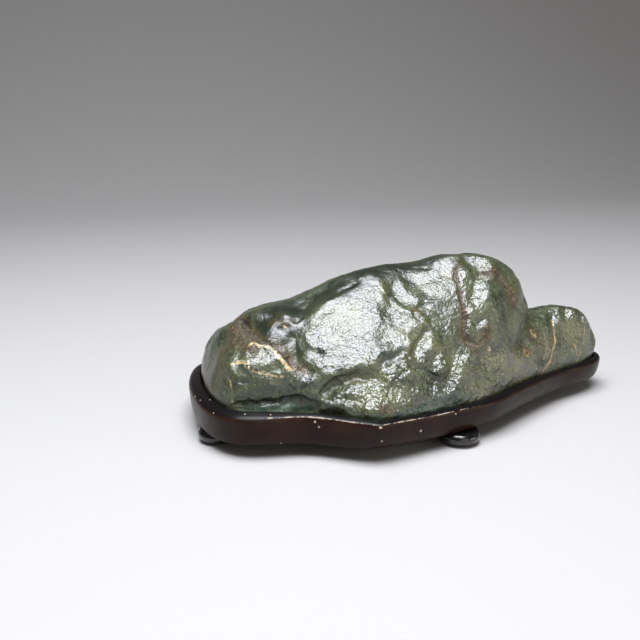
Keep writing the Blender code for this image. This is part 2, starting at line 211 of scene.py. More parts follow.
class Skin:
    """The vertices of one piece in millimetres, worked along their normals."""

    def __init__(self, piece: bpy.types.Object) -> None:
        """Read the vertices of a piece.

        Args:
            piece: The piece, whose place is in its mesh.
        """
        self.piece = piece
        self.mesh = piece.data
        self.count = len(self.mesh.vertices)
        self.points = self.read("co") / MM
        self.start = self.points.copy()
        self.facing = self.read("normal")

    def read(self, what: str) -> np.ndarray:
        """Read one vector property of every vertex.

        Args:
            what: The property's name.

        Returns:
            One row for each vertex.
        """
        values = np.empty(self.count * 3)
        self.mesh.vertices.foreach_get(what, values)
        return values.reshape(-1, 3)

    def push(self, height: np.ndarray) -> None:
        """Move every vertex along its normal by a height in millimetres."""
        self.points += self.facing * height[:, None]

    def settle(self) -> None:
        """Write the vertices back to the mesh, and take the new normals."""
        self.mesh.vertices.foreach_set("co", (self.points * MM).ravel())
        self.mesh.update()
        self.facing = self.read("normal")

    def ease(self, times: int) -> None:
        """Smooth the piece this many times, and read it again."""
        apply_modifier(self.piece, "SMOOTH", iterations=times, factor=EASE)
        self.points = self.read("co") / MM
        self.settle()

    def store(self, name: str, values: np.ndarray) -> None:
        """Keep one number for each vertex, for the material to read."""
        attribute = self.mesh.attributes.new(name, "FLOAT", "POINT")
        attribute.data.foreach_set("value", values.astype(np.float32))

    def grain(self, size: float, octaves: int, seed: float) -> np.ndarray:
        """Soft noise over the skin as it was at the start.

        Args:
            size: The size of its largest features in millimetres.
            octaves: How many layers it has, each half as large and high as the last.
            seed: Where in the noise this sample is taken.

        Returns:
            About -1 to 1 at each vertex.
        """
        shift = Vector((seed, 1.7 * seed, -2.3 * seed))
        return np.array(
            [noise.fractal(Vector(p) / size + shift, 1.0, 2.0, octaves) for p in self.start]
        )


def distance_to(points: np.ndarray, route: Route) -> tuple[np.ndarray, np.ndarray, np.ndarray]:
    """Measure points against a route.

    Args:
        points: Points in millimetres.
        route: The route's own points in millimetres.

    Returns:
        For each point its distance to the route, how far along the route it lies from 0 to 1, and
        its height above the route there.
    """
    line = np.array(route, float)
    lengths = np.linalg.norm(np.diff(line, axis=0), axis=1)
    best = np.full(len(points), np.inf)
    along = np.zeros(len(points))
    above = np.zeros(len(points))
    for i, (start, end) in enumerate(zip(line[:-1], line[1:])):
        leg = end - start
        share = np.clip((points - start) @ leg / (leg @ leg), 0.0, 1.0)
        away = points - (start + share[:, None] * leg)
        distance = np.linalg.norm(away, axis=1)
        nearer = distance < best
        best[nearer] = distance[nearer]
        along[nearer] = (lengths[:i].sum() + share[nearer] * lengths[i]) / lengths.sum()
        above[nearer] = (away @ np.cross(leg / lengths[i], [0.0, 1.0, 0.0]))[nearer]
    return best, along, above


def tapered(along: np.ndarray, share: float) -> np.ndarray:
    """1 along a route, fading to 0 over this share of it at both of its ends."""
    return soft_step(0.0, share, along) * soft_step(1.0, 1.0 - share, along)


class Filling(enum.Enum):
    """What fills a line or a spot of the stone, named for the attribute that marks it."""

    RUST = "rust"
    CREAM = "cream"
    OCHRE = "ochre"
    # Real cracks, and painted shade along creases, channels, wrinkles and the undercut.
    DARK = "dark"


@dataclass(frozen=True)
class Seam:
    """A vein, seam or crack of the stone.

    Attributes:
        filling: What fills it.
        route: Its route in millimetres.
        width: The half width of its colour in millimetres.
        groove: How deep it is sunk in millimetres.
        groove_width: The half width of that groove in millimetres.
    """

    filling: Filling
    route: Route
    width: float
    groove: float = 0.0
    groove_width: float = 1.2


@dataclass(frozen=True)
class Ledge:
    """A step broken across the stone.

    Attributes:
        route: The step's edge in millimetres.
        drop: How far the side below it is set back, or the side above it if below zero.
        fade: How far from the edge the surface is back where it was, in millimetres.
    """

    route: Route
    drop: float
    fade: float


@dataclass(frozen=True)
class Patch:
    """A round region of the stone where something changes.

    Attributes:
        centre: Its centre in millimetres.
        radii: How far it reaches along X, Y and Z in millimetres.
        amount: How strong it is.
    """

    centre: Point
    radii: Point
    amount: float = 1.0

    def reach(self, points: np.ndarray) -> np.ndarray:
        """How far out each point lies, 1 being the patch's edge."""
        return np.linalg.norm((points - np.array(self.centre)) / np.array(self.radii), axis=1)

    def over(self, points: np.ndarray) -> np.ndarray:
        """The patch's strength at each point, fading softly outwards."""
        return self.amount * np.exp(-self.reach(points) ** 2)


@dataclass(frozen=True)
class Plane:
    """A nearly flat face of the stone.

    Attributes:
        centre: Its centre in millimetres.
        radius: How far it reaches in millimetres.
        facing: The direction it faces.
        depth: How far below the mean of the skin it lies, in millimetres.
        most: The most that it moves the skin, in millimetres.
        fill: The share by which a hollow below it is filled.
    """

    centre: Point
    radius: float
    facing: Point
    depth: float = 0.5
    most: float = 2.5
    fill: float = 0.3

    def moves(self, points: np.ndarray, ragged: np.ndarray) -> tuple[np.ndarray, np.ndarray]:
        """Find how the skin near this face moves to lie in its plane.

        Args:
            points: Points in millimetres.
            ragged: Noise at each point, which makes the face's outline uneven.

        Returns:
            The face's direction, and how far each point moves along it in millimetres.
        """
        facing = unit(self.facing)
        away = np.linalg.norm(points - np.array(self.centre), axis=1) / self.radius
        weight = soft_step(1.5, 0.7, away * (1.0 + 0.4 * ragged))
        heights = points @ facing
        level = np.average(heights, weights=weight) - self.depth
        move = np.clip(level - heights, -self.most, self.most)
        return facing, weight * np.where(move < 0.0, move, self.fill * move)


@dataclass(frozen=True)
class Terrace:
    """Ground where the stone split along its grain into small steps.

    Attributes:
        ground: Where it is, and how far it is split there from 0 to 1.
        rise: The height of one step in millimetres.
        facing: The direction that the treads face.
    """

    ground: Patch
    rise: float
    facing: Point


class Recipe:
    """A material in the making: its shader, its noises, its marks and the nodes that mix them.

    Attributes:
        made: The material.
        place: The piece's own coordinates in metres.
        grain: Its noises by name, each about 0 to 1.
        mark: The numbers stored on the piece's vertices, by name.
    """

    def __init__(self, name: str, grains: dict[str, Grain], marks: tuple[str, ...] = ()) -> None:
        """Start a material.

        Args:
            name: The material's name.
            grains: For each noise its size in millimetres, its detail and its roughness.
            marks: The names of the stored numbers that it reads.
        """
        self.made = bpy.data.materials.new(name)
        self.made.use_nodes = True
        self.tree = self.made.node_tree
        self.place = self.add("ShaderNodeTexCoord", {}).outputs["Object"]
        self.grain: dict[str, Socket] = {}
        for grain, (size, detail, rough) in grains.items():
            look = {"Vector": self.place, "Scale": per_metre(size), "Detail": detail}
            noisy = self.add("ShaderNodeTexNoise", {**look, "Roughness": rough})
            self.grain[grain] = noisy.outputs[0]
        self.mark: dict[str, Socket] = {}
        for mark in marks:
            stored = self.add("ShaderNodeAttribute", {}, attribute_name=mark)
            self.mark[mark] = stored.outputs["Fac"]

    def fill(self, node: bpy.types.Node, inputs: dict[str | int, object]) -> None:
        """Give a node its values and its links.

        Args:
            node: The node.
            inputs: For each input, by name or index, a value or the output socket to link to it.
        """
        for socket, value in inputs.items():
            if isinstance(value, Socket):
                self.tree.links.new(value, node.inputs[socket])
            else:
                node.inputs[socket].default_value = value

    def add(
        self, kind: str, inputs: dict[str | int, object], **settings: object
    ) -> bpy.types.Node:
        """Add a node with its settings, its values and its links.

        Args:
            kind: The node's type name.
            inputs: For each input, by name or index, a value or the output socket to link to it.
            **settings: Properties of the node itself.

        Returns:
            The new node.
        """
        node = self.tree.nodes.new(kind)
        for name, value in settings.items():
            setattr(node, name, value)
        self.fill(node, inputs)
        return node

    def maths(self, operation: str, *values: Socket | float, clamp: bool = False) -> Socket:
        """Work out a value from others.

        Args:
            operation: The operation's name.
            *values: The values that it takes.
            clamp: Whether the result is kept from 0 to 1.

        Returns:
            The result.
        """
        inputs = dict(enumerate(values))
        return self.add("ShaderNodeMath", inputs, operation=operation, use_clamp=clamp).outputs[0]

    def ranged(
        self, value: Socket, start: float, end: float, low: float, high: float,
        way: str = "LINEAR",
    ) -> Socket:
        """Turn one range of a value to another.

        Args:
            value: The value.
            start: Where its own range starts.
            end: Where its own range ends, which may be lower.
            low: The result at the start.
            high: The result at the end.
            way: How it goes from one to the other.

        Returns:
            The result.
        """
        inputs = {"Value": value, "From Min": start, "From Max": end, "To Min": low, "To Max": high}
        return self.add("ShaderNodeMapRange", inputs, interpolation_type=way).outputs[0]

    def laid(
        self, under: Socket | str, tint: Socket | str, mask: Socket, low: float, high: float,
        most: float = 1.0,
    ) -> Socket:
        """Lay a tint over a colour where a mask says.

        Args:
            under: The colour so far, as a socket or in hex.
            tint: The colour that is laid over it, as a socket or in hex.
            mask: The value that says where.
            low: The mask's value where the tint begins.
            high: The mask's value where the tint is full.
            most: The share of the tint where it is full.

        Returns:
            The colour with the tint on it.
        """
        share = self.ranged(mask, low, high, 0.0, most, "SMOOTHSTEP")
        below, above = (c if isinstance(c, Socket) else linear(c) for c in (under, tint))
        colours = {0: share, 6: below, 7: above}
        return self.add("ShaderNodeMix", colours, data_type="RGBA").outputs[2]

    def ragged(self, mark: str, grain: str, wander: float) -> Socket:
        """Make a stored distance uneven.

        Args:
            mark: The distance's name.
            grain: The noise that sways it.
            wander: How far it sways.

        Returns:
            The uneven distance.
        """
        swing = self.maths("SUBTRACT", self.grain[grain], 0.5)
        return self.maths("MULTIPLY_ADD", swing, wander, self.mark[mark])

    def bump(
        self, height: Socket, depth: float, strength: Socket | float, under: Socket | None = None
    ) -> Socket:
        """Let a value stand out as fine relief.

        Args:
            height: The value.
            depth: The relief's depth in millimetres.
            strength: How much of it shows.
            under: The relief that it lies on.

        Returns:
            The normal.
        """
        inputs = {"Height": height, "Distance": depth * MM, "Strength": strength}
        if under is not None:
            inputs["Normal"] = under
        return self.add("ShaderNodeBump", inputs).outputs[0]

    def done(self, inputs: dict[str, object]) -> bpy.types.Material:
        """Give the shader its inputs.

        Args:
            inputs: The inputs by name.

        Returns:
            The finished material.
        """
        self.fill(self.tree.nodes["Principled BSDF"], inputs)
        return self.made


class Finish:
    """A surface finish, which makes its own material."""

    def material(self) -> bpy.types.Material:
        """The finish as a material."""
        raise NotImplementedError


@dataclass(frozen=True)
class WaxedStone(Finish):
    """Green serpentine, worn by water and rubbed with wax.

    It gives the eye a cloudy grey-green under a satin sheen that pits and wrinkles break up, rust
    and cream lime along its seams, a teal tinge low along its foot and in its hollow, and painted
    shade that darkens its top band, hollows and creases.
    """

    shade: str = "#1F271A"
    body: str = "#3F472F"
    light: str = "#686A48"
    # The darkest green: random dark specks, and painted shade on the top band, hollows and foot.
    deep: str = "#121A12"
    teal: str = "#2A4636"
    olive: str = "#4D472C"
    tan: str = "#777256"
    stain: str = "#453E24"
    rust: str = "#2D2311"
    rust_light: str = "#796036"
    ochre: str = "#67553A"
    ochre_light: str = "#A08961"
    cream: str = "#9C8556"
    cream_light: str = "#D0C19B"
    # Dark line colour: real cracks, and painted shade along creases, channels and the undercut.
    crack_and_painted_shade: str = "#0F100B"
    cloud_mm: float = 34.0
    mottle_mm: float = 9.0
    fleck_mm: float = 2.6
    speck_mm: float = 1.5
    wrinkle_mm: float = 1.3
    chipped_mm: float = 2.3
    pit_mm: float = 1.5
    refraction: float = 1.62
    wax_roughness: float = 0.22

    def material(self) -> bpy.types.Material:
        """The waxed stone as a material that reads the piece's own attributes.

        Returns:
            The material.
        """
        mix = Recipe(
            "waxed_serpentine",
            {
                "cloud": (self.cloud_mm, 3.0, 0.5),
                "mottle": (self.mottle_mm, 6.0, 0.62),
                "fleck": (self.fleck_mm, 4.0, 0.6),
                "speck": (self.speck_mm, 2.0, 0.5),
                "wrinkle": (self.wrinkle_mm, 2.0, 0.55),
                "chipped": (self.chipped_mm, 1.0, 0.5),
            },
            (*(filling.value for filling in Filling), *SEEN_ZONES),
        )
        mark = mix.mark
        rust_line = mix.ragged("rust", "mottle", 2.6)
        matt = mix.ranged(rust_line, 1.1, 0.3, 0.0, 0.36)
        worn = mix.maths("ADD", mix.ranged(mix.grain["mottle"], 0.3, 0.7, 0.25, 0.4), matt)
        bare = mix.maths("SUBTRACT", mark["dull"], mark["deep"], clamp=True)
        wax = mix.ranged(mark["dull"], 0.0, 1.0, 0.8, 0.08)
        relief = self.relief(mix)
        return mix.done({
            "Base Color": self.veined(mix, self.ground(mix), rust_line),
            "Roughness": mix.maths("MULTIPLY_ADD", bare, 0.22, worn),
            "Coat Weight": mix.maths("MULTIPLY_ADD", matt, -2.1, wax, clamp=True),
            "IOR": self.refraction,
            "Coat Roughness": self.wax_roughness,
            "Normal": relief,
            "Coat Normal": relief,
        })

    def ground(self, mix: Recipe) -> Socket:
        """Mix the clouded green of the stone itself with the tinge of each of its zones, and painted
        shade on its top band, hollows and foot.

        Args:
            mix: The material in the making.

        Returns:
            The colour.
        """
        grain, mark = mix.grain, mix.mark
        colour = mix.laid(self.shade, self.body, grain["mottle"], 0.34, 0.6)
        colour = mix.laid(colour, self.light, grain["cloud"], 0.46, 0.7, 0.6)
        for zone, tint, most in (("olive", self.olive, 0.8), ("teal", self.teal, 0.85)):
            spread = mix.maths("ADD", grain["mottle"], mark[zone])
            colour = mix.laid(colour, tint, spread, 0.78, 1.2, most)
        for tint, name, low, high, most in (
            (self.light, "fleck", 0.54, 0.72, 0.6),
            (self.shade, "fleck", 0.46, 0.28, 0.7),
            (self.light, "speck", 0.56, 0.72, 0.5),
            (self.deep, "speck", 0.44, 0.26, 0.6),
        ):
            colour = mix.laid(colour, tint, grain[name], low, high, most)
        # Painted shade: the top band, hollows, valley, foot by the lip and left end are darkened
        # towards the darkest green.
        colour = mix.laid(colour, self.deep, mark["deep"], 0.0, 1.0, 0.85)
        spread = mix.maths("MULTIPLY_ADD", grain["speck"], 2.2, mark["tan"])
        return mix.laid(colour, self.tan, spread, 1.45, 1.8, 0.5)

    def veined(self, mix: Recipe, colour: Socket, rust_line: Socket) -> Socket:
        """Lay rust, lime, ochre and dark cracks over the stone, and painted shade along its creases.

        Args:
            mix: The material in the making.
            colour: The colour of the stone itself.
            rust_line: The uneven distance to rust.

        Returns:
            The colour with its veins.
        """
        fleck, speck = mix.grain["fleck"], mix.grain["speck"]
        colour = mix.laid(colour, self.stain, rust_line, 2.4, 1.0, 0.6)
        rust = mix.laid(self.rust, self.rust_light, speck, 0.5, 0.68, 0.85)
        speckled = mix.laid(colour, rust, fleck, 0.4, 0.52)
        colour = mix.laid(colour, speckled, rust_line, 1.3, 0.8)
        cream = mix.laid(self.cream, self.cream_light, speck, 0.42, 0.62)
        limed = mix.laid(colour, cream, fleck, 0.36, 0.5)
        colour = mix.laid(colour, limed, mix.ragged("cream", "fleck", 2.0), 1.05, 0.5)
        ochre = mix.laid(self.ochre, self.ochre_light, speck, 0.4, 0.6)
        colour = mix.laid(colour, ochre, mix.ragged("ochre", "fleck", 1.4), 1.15, 0.6)
        # Dark lines: real cracks, and painted shade along the creases, channels, wrinkles and
        # undercut.
        return mix.laid(colour, self.crack_and_painted_shade, mix.ragged("dark", "fleck", 1.6), 1.0, 0.3, 0.85)

    def relief(self, mix: Recipe) -> Socket:
        """Break the sheen with chips where the stone is rough, and with fine wrinkles and pits.

        Args:
            mix: The material in the making.

        Returns:
            The normal.
        """
        rough = mix.mark["rough"]
        strength = mix.ranged(mix.mark["dull"], 0.0, 1.0, 1.0, 0.35)
        calmer = mix.maths("MULTIPLY_ADD", rough, -0.5, strength, clamp=True)
        split = mix.bump(mix.grain["chipped"], 1.3, rough)
        wrinkled = mix.bump(mix.grain["wrinkle"], 0.55, calmer, split)
        look = {"Vector": mix.place, "Scale": per_metre(self.pit_mm)}
        cells = mix.add("ShaderNodeTexVoronoi", look).outputs["Distance"]
        pits = mix.ranged(cells, 0.0, 0.34, 0.0, 1.0, "SMOOTHSTEP")
        return mix.bump(pits, 0.12, 0.5, wrinkled)


@dataclass(frozen=True)
class WornLacquer(Finish):
    """Dark lacquer brushed over carved wood, rubbed through to the wood along its rim.

    It gives the eye a near-black brown with a soft broken gloss, a thin pale line at the edge, and
    painted shade that darkens its faces turned upwards to near-black.
    """

    lacquer: str = "#20110A"
    brushed: str = "#2A1910"
    lip: str = "#0E0C0D"
    wood: str = "#A99C88"
    brush_mm: float = 14.0
    streak_mm: float = 4.0
    fleck_mm: float = 1.2
    chips: tuple[tuple[Point, float], ...] = ()

    def material(self) -> bpy.types.Material:
        """The worn lacquer as a material that reads the piece's own attributes.

        Returns:
            The material.
        """
        sizes = {"brush": self.brush_mm, "streak": self.streak_mm, "fleck": self.fleck_mm}
        grains = {name: (size, 4.0, 0.6) for name, size in sizes.items()}
        mix = Recipe("worn_lacquer_on_wood", grains, ("edge", "top", "worn"))
        streak, fleck = mix.grain["streak"], mix.grain["fleck"]
        colour = mix.laid(self.lacquer, self.brushed, mix.grain["brush"], 0.4, 0.65)
        # Painted shade: faces turned upwards are darkened towards near-black.
        colour = mix.laid(colour, self.lip, mix.mark["top"], 0.2, 0.8)
        rubbed = mix.maths("MULTIPLY_ADD", streak, -1.6, mix.mark["edge"])
        rubbed = mix.maths("SUBTRACT", rubbed, mix.mark["worn"])
        colour = mix.laid(colour, self.wood, rubbed, -0.82, -1.1, 0.75)
        for centre, radius in self.chips:
            size = radius * MM
            ends = {0: mix.place, 1: tuple(c * MM for c in centre)}
            away = mix.add("ShaderNodeVectorMath", ends, operation="DISTANCE").outputs["Value"]
            ragged = mix.maths("MULTIPLY_ADD", fleck, -0.9 * size, away)
            colour = mix.laid(colour, self.wood, ragged, 0.55 * size, 0.3 * size)
        return mix.done({
            "Base Color": colour,
            "Roughness": mix.ranged(streak, 0.3, 0.7, 0.26, 0.42),
            "Specular IOR Level": 0.14,
            "Coat Weight": 0.03,
            "Coat Roughness": 0.2,
            "Normal": mix.bump(fleck, 0.04, 0.5, mix.bump(streak, 0.12, 0.5)),
        })


@dataclass(frozen=True)
class GlossLacquer(Finish):
    """Black lacquer polished on turned wood, which gives a deep shine with faint dust and rubs."""

    lacquer: str = "#0E0D0E"
    dusty: str = "#2A2725"
    dust_mm: float = 2.2

    def material(self) -> bpy.types.Material:
        """The gloss lacquer as a material.

        Returns:
            The material.
        """
        mix = Recipe("gloss_black_lacquer", {"dust": (self.dust_mm, 5.0, 0.65)})
        dust = mix.grain["dust"]
        return mix.done({
            "Base Color": mix.laid(self.lacquer, self.dusty, dust, 0.52, 0.78, 0.7),
            "Roughness": mix.ranged(dust, 0.35, 0.75, 0.12, 0.34),
            "Coat Weight": 0.5,
            "Coat Roughness": 0.08,
            "Normal": mix.bump(dust, 0.06, 0.4),
        })


def dress(piece: bpy.types.Object, finish: Finish, slot: str, *nodes: str) -> None:
    """Give a finished piece its material and its body, and hide the CAD nodes that it replaces.

    Args:
        piece: The finished piece.
        finish: Its finish.
        slot: The record's material slot; not used.
        *nodes: The CAD nodes that it replaces.
    """
    piece.data.materials.clear()
    piece.data.materials.append(finish.material())
    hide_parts(*nodes)
    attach(piece, BODY)
    LOG.info("%s: %d faces", piece.name, len(piece.data.polygons))


# The stone's own lines, in millimetres. Those in front follow the photograph, and the rest are
# inferred.
V_CRACK: Route = (
    (-116, 14, 71), (-113, 4, 67), (-110, -11, 66), (-107, -17, 64), (-102, -22, 64),
    (-98, -27, 61), (-93, -30, 55), (-91, -33, 51), (-86, -34, 50),
)
HOLLOW_TOP: Route = ((-113, 10, 72), (-106, 4, 74), (-100, -2, 74), (-96, -8, 74), (-92, -11, 73))
CREAM_LEDGE: Route = ((-126, -22, 53), (-123, -23, 53.6), (-121, -24, 55), (-118, -28, 55.6))
CREAM_LINE: Route = (
    (-118, -29, 53), (-115, -31, 51), (-111, -32.5, 49.6), (-108, -34.5, 48.6), (-104, -35.6, 47.4),
    (-99, -36, 47),
)
CREAM_NET: tuple[Route, ...] = (
    ((-118, -28, 55.6), (-115.4, -27, 58), (-112.4, -24.6, 61), (-110, -22, 63)),
    ((-108, -34.5, 48.6), (-106, -33.6, 51), (-102.4, -33, 52.8), (-100, -32.4, 55)),
)
CREAM_EDGE: Route = (
    (-114, -18, 63.6), (-110, -22, 63.6), (-103, -23, 63), (-100, -30, 59.5), (-97.6, -32.5, 56),
    (-95, -35, 52), (-91, -33.4, 50.6),
)
BLOCK_TOP: Route = (
    (-127, -26, 44), (-123, -29, 43.4), (-116, -31.5, 43), (-109, -33.6, 43), (-102, -35, 43),
    (-96, -37, 45.4), (-88, -37, 48.3),
)
UNDERCUT: Route = (
    (-128, -31, 30.5), (-121, -33.4, 31.3), (-112, -34.4, 31), (-102, -36.6, 32.6),
    (-95, -39, 34.7), (-90, -42, 36), (-84, -43, 35),
)
BLOCK_END: Route = ((-130, -21, 46), (-128.4, -25.4, 43), (-127.8, -28.5, 38), (-128.6, -30, 32))
BLOCK_CRACK: Route = ((-102, -35.4, 36.6), (-98, -36, 39), (-93.5, -38.1, 42))
BLOCK_CRACK_LOW: Route = ((-99.3, -37, 34.4), (-95, -38.4, 38.3), (-91, -39, 40.7))
RUST_NET: Route = ((-122.6, -3, 61.3), (-118, -11, 63), (-115, -19, 63), (-113.7, -26, 62))
RUST_NET_TOP: Route = (
    (-119, 8, 66.7), (-118, -1.5, 65.6), (-114.6, -8, 66), (-112.8, -14.6, 64.6), (-111, -23, 64),
)
UNDER_SHELF: Route = (
    (-79, -44.5, 35.5), (-74.7, -45.3, 40.2), (-70, -46, 42.5), (-63.6, -47, 45.4),
    (-57, -48.6, 47.8), (-50, -51.5, 49), (-44.7, -55, 47), (-39.6, -55, 44),
)
SHELF_RIDGE: Route = (
    (-78.7, -44.4, 37.8), (-74, -44.7, 42.5), (-68.7, -45.3, 47.2), (-63, -46, 49.6),
)
LOW_CRACK: Route = (
    (-28, -52, 51.6), (-32.4, -54.5, 48), (-36, -54.3, 44), (-40, -57.4, 39.6), (-44, -62.4, 36.3),
    (-46.5, -64.4, 30.5),
)
CROSS_CRACK: Route = ((-38.7, -51, 54), (-34.6, -51.4, 53.2), (-29.8, -52.1, 51.8))
LOW_CHANNEL: Route = (
    (-67.4, -50, 36.2), (-63.5, -53, 35.2), (-58.7, -55.4, 34.5), (-54.5, -59.4, 35),
)
SIDE_CHANNEL: Route = ((-50, -57, 42.2), (-45.7, -58.2, 41.7), (-40.2, -57, 41.7))
UPPER_CREASE: Route = (
    (-3.5, -22.2, 84), (-9.2, -23.7, 82), (-14, -25, 78.7), (-14, -28.4, 75.4), (-10, -31.6, 73.5),
)
MAIN_CREASE: Route = (
    (-7.3, -33.5, 71.3), (-9.7, -35, 68), (-14, -38, 64.2), (-19, -42, 59.4), (-23.5, -48, 56.8),
    (-24, -49.6, 54.6), (-20, -49.4, 51), (-15.4, -50.6, 48.8), (-9, -50, 43.4),
    (-5.8, -51.5, 38.7),
)
SHEEN_WRINKLES: tuple[Route, ...] = (
    (
        (-33.8, -7.7, 93.6), (-31.5, -12.6, 90.2), (-29.5, -18.5, 87.1), (-25.5, -24.1, 83.8),
        (-21.7, -28.3, 80.3), (-16.8, -27.4, 76.6),
    ),
    ((-33.4, -23.1, 84.7), (-30.1, -26.7, 82.3), (-26.9, -30.6, 79.4), (-22.7, -31.4, 77.4)),
    ((-42.3, -23, 84), (-38, -27.8, 81.2), (-34.3, -31.8, 78.3), (-31.2, -34.3, 75.7)),
    ((-24.6, -15.5, 88.6), (-21.6, -20, 85.7), (-18.2, -23.7, 82)),
)
HUMP_SEAM: Route = (
    (25, -2.8, 101.6), (20.5, -5.5, 98.5), (18.8, -8.4, 94.7), (18.6, -12.6, 91.8), (18.5, -18, 88),
    (17.7, -22, 84.4), (18.7, -25, 80), (17.8, -27.5, 75), (17, -30, 69.2), (16.3, -32.3, 64.2),
    (17.5, -34.6, 59.6), (19, -37.6, 56.6),
)
HUMP_FOOT: Route = (
    (16.6, -33, 63), (19.3, -35.2, 59), (21.7, -37.5, 57), (25.6, -36, 58.1), (29.6, -34.1, 61.2),
    (32.1, -32.8, 63.8),
)
RUST_SEAM: Route = (
    (36.6, -9.6, 97.2), (41.6, -9.3, 95.6), (47.8, -6.7, 93.4), (51.1, -7.4, 90),
    (53.1, -8.2, 86.1), (56.5, -8.8, 82.8), (58, -10.4, 79.1), (57.7, -13, 76.4),
)
INNER_SEAM: Route = (
    (36.9, -10.4, 96.1), (31.7, -11.6, 95.3), (29.3, -14.5, 91), (29, -17.2, 87.7),
    (25.6, -20.8, 84.3), (21.9, -23.5, 81.3),
)
NOTCH: Route = ((59.2, -13, 75), (63.2, -10.9, 72.2), (68, -8, 67))
SADDLE: Route = ((82, -4, 57), (85, 6, 62), (87, 18, 64), (88, 30, 60))
TAIL_VEIN: Route = (
    (98.8, 11, 57.1), (98.9, 7.8, 52.3), (99.2, 4.6, 47.5), (98.2, 2.1, 42.6), (95.6, -0.6, 38),
    (93.2, -2.9, 33.2), (89, -6, 28.8), (83.6, -9.8, 25.6),
)
END_VEIN: Route = (
    (129, 17.3, 47.6), (127.4, 14.7, 41.8), (126, 13, 35.8), (123.5, 10.5, 31.7), (121.2, 8.6, 28),
    (119.6, 7.9, 24.7),
)
END_VEIN_BRANCH: Route = ((114.6, 6.9, 40), (118, 7.9, 35), (119, 7.4, 29.3))
SADDLE_RING: Route = (
    (81, -3.4, 52), (79.6, -4.4, 54.6), (76.8, -4.2, 54.4), (75.4, -3.6, 51.8), (77, -4, 49.6),
    (79.8, -4.6, 49.8), (81, -3.4, 52),
)
LOWER_RING: Route = (
    (70.2, -15, 43.4), (69, -15.6, 45.6), (66.6, -16, 45.4), (65.4, -16.4, 43), (67, -17, 41.2),
    (69.4, -16, 41.6), (70.2, -15, 43.4),
)
BACK_CRACK: Route = ((-66, 20, 86), (-60, 38, 76), (-66, 54, 60), (-60, 62, 44), (-64, 66, 32))
BACK_SEAM: Route = ((8, 18, 102), (14, 34, 94), (8, 48, 80), (14, 58, 64), (8, 64, 46))
BACK_VEIN: Route = ((60, 22, 94), (66, 36, 78), (60, 46, 62), (66, 54, 44), (60, 58, 32))
END_CRACK: Route = ((-118, 24, 66), (-122, 38, 58), (-116, 52, 50), (-118, 58, 38))
TAIL_BACK_VEIN: Route = ((104, 30, 62), (108, 38, 50), (102, 46, 38), (104, 48, 28))

# The way the stone's grain splits in front, which faces up towards the light, and how its other
# broken faces turn.
GRAIN: Point = (-0.25, -0.64, 0.73)
BACK_GRAIN: Point = (0.3, 0.62, 0.72)


def patches(*rows: tuple[float, ...]) -> tuple[Patch, ...]:
    """Make patches of rows of numbers.

    Args:
        *rows: For each patch its centre, its radii and, where it is not 1, its amount.

    Returns:
        The patches.
    """
    return tuple(Patch(row[:3], row[3:6], *row[6:]) for row in rows)


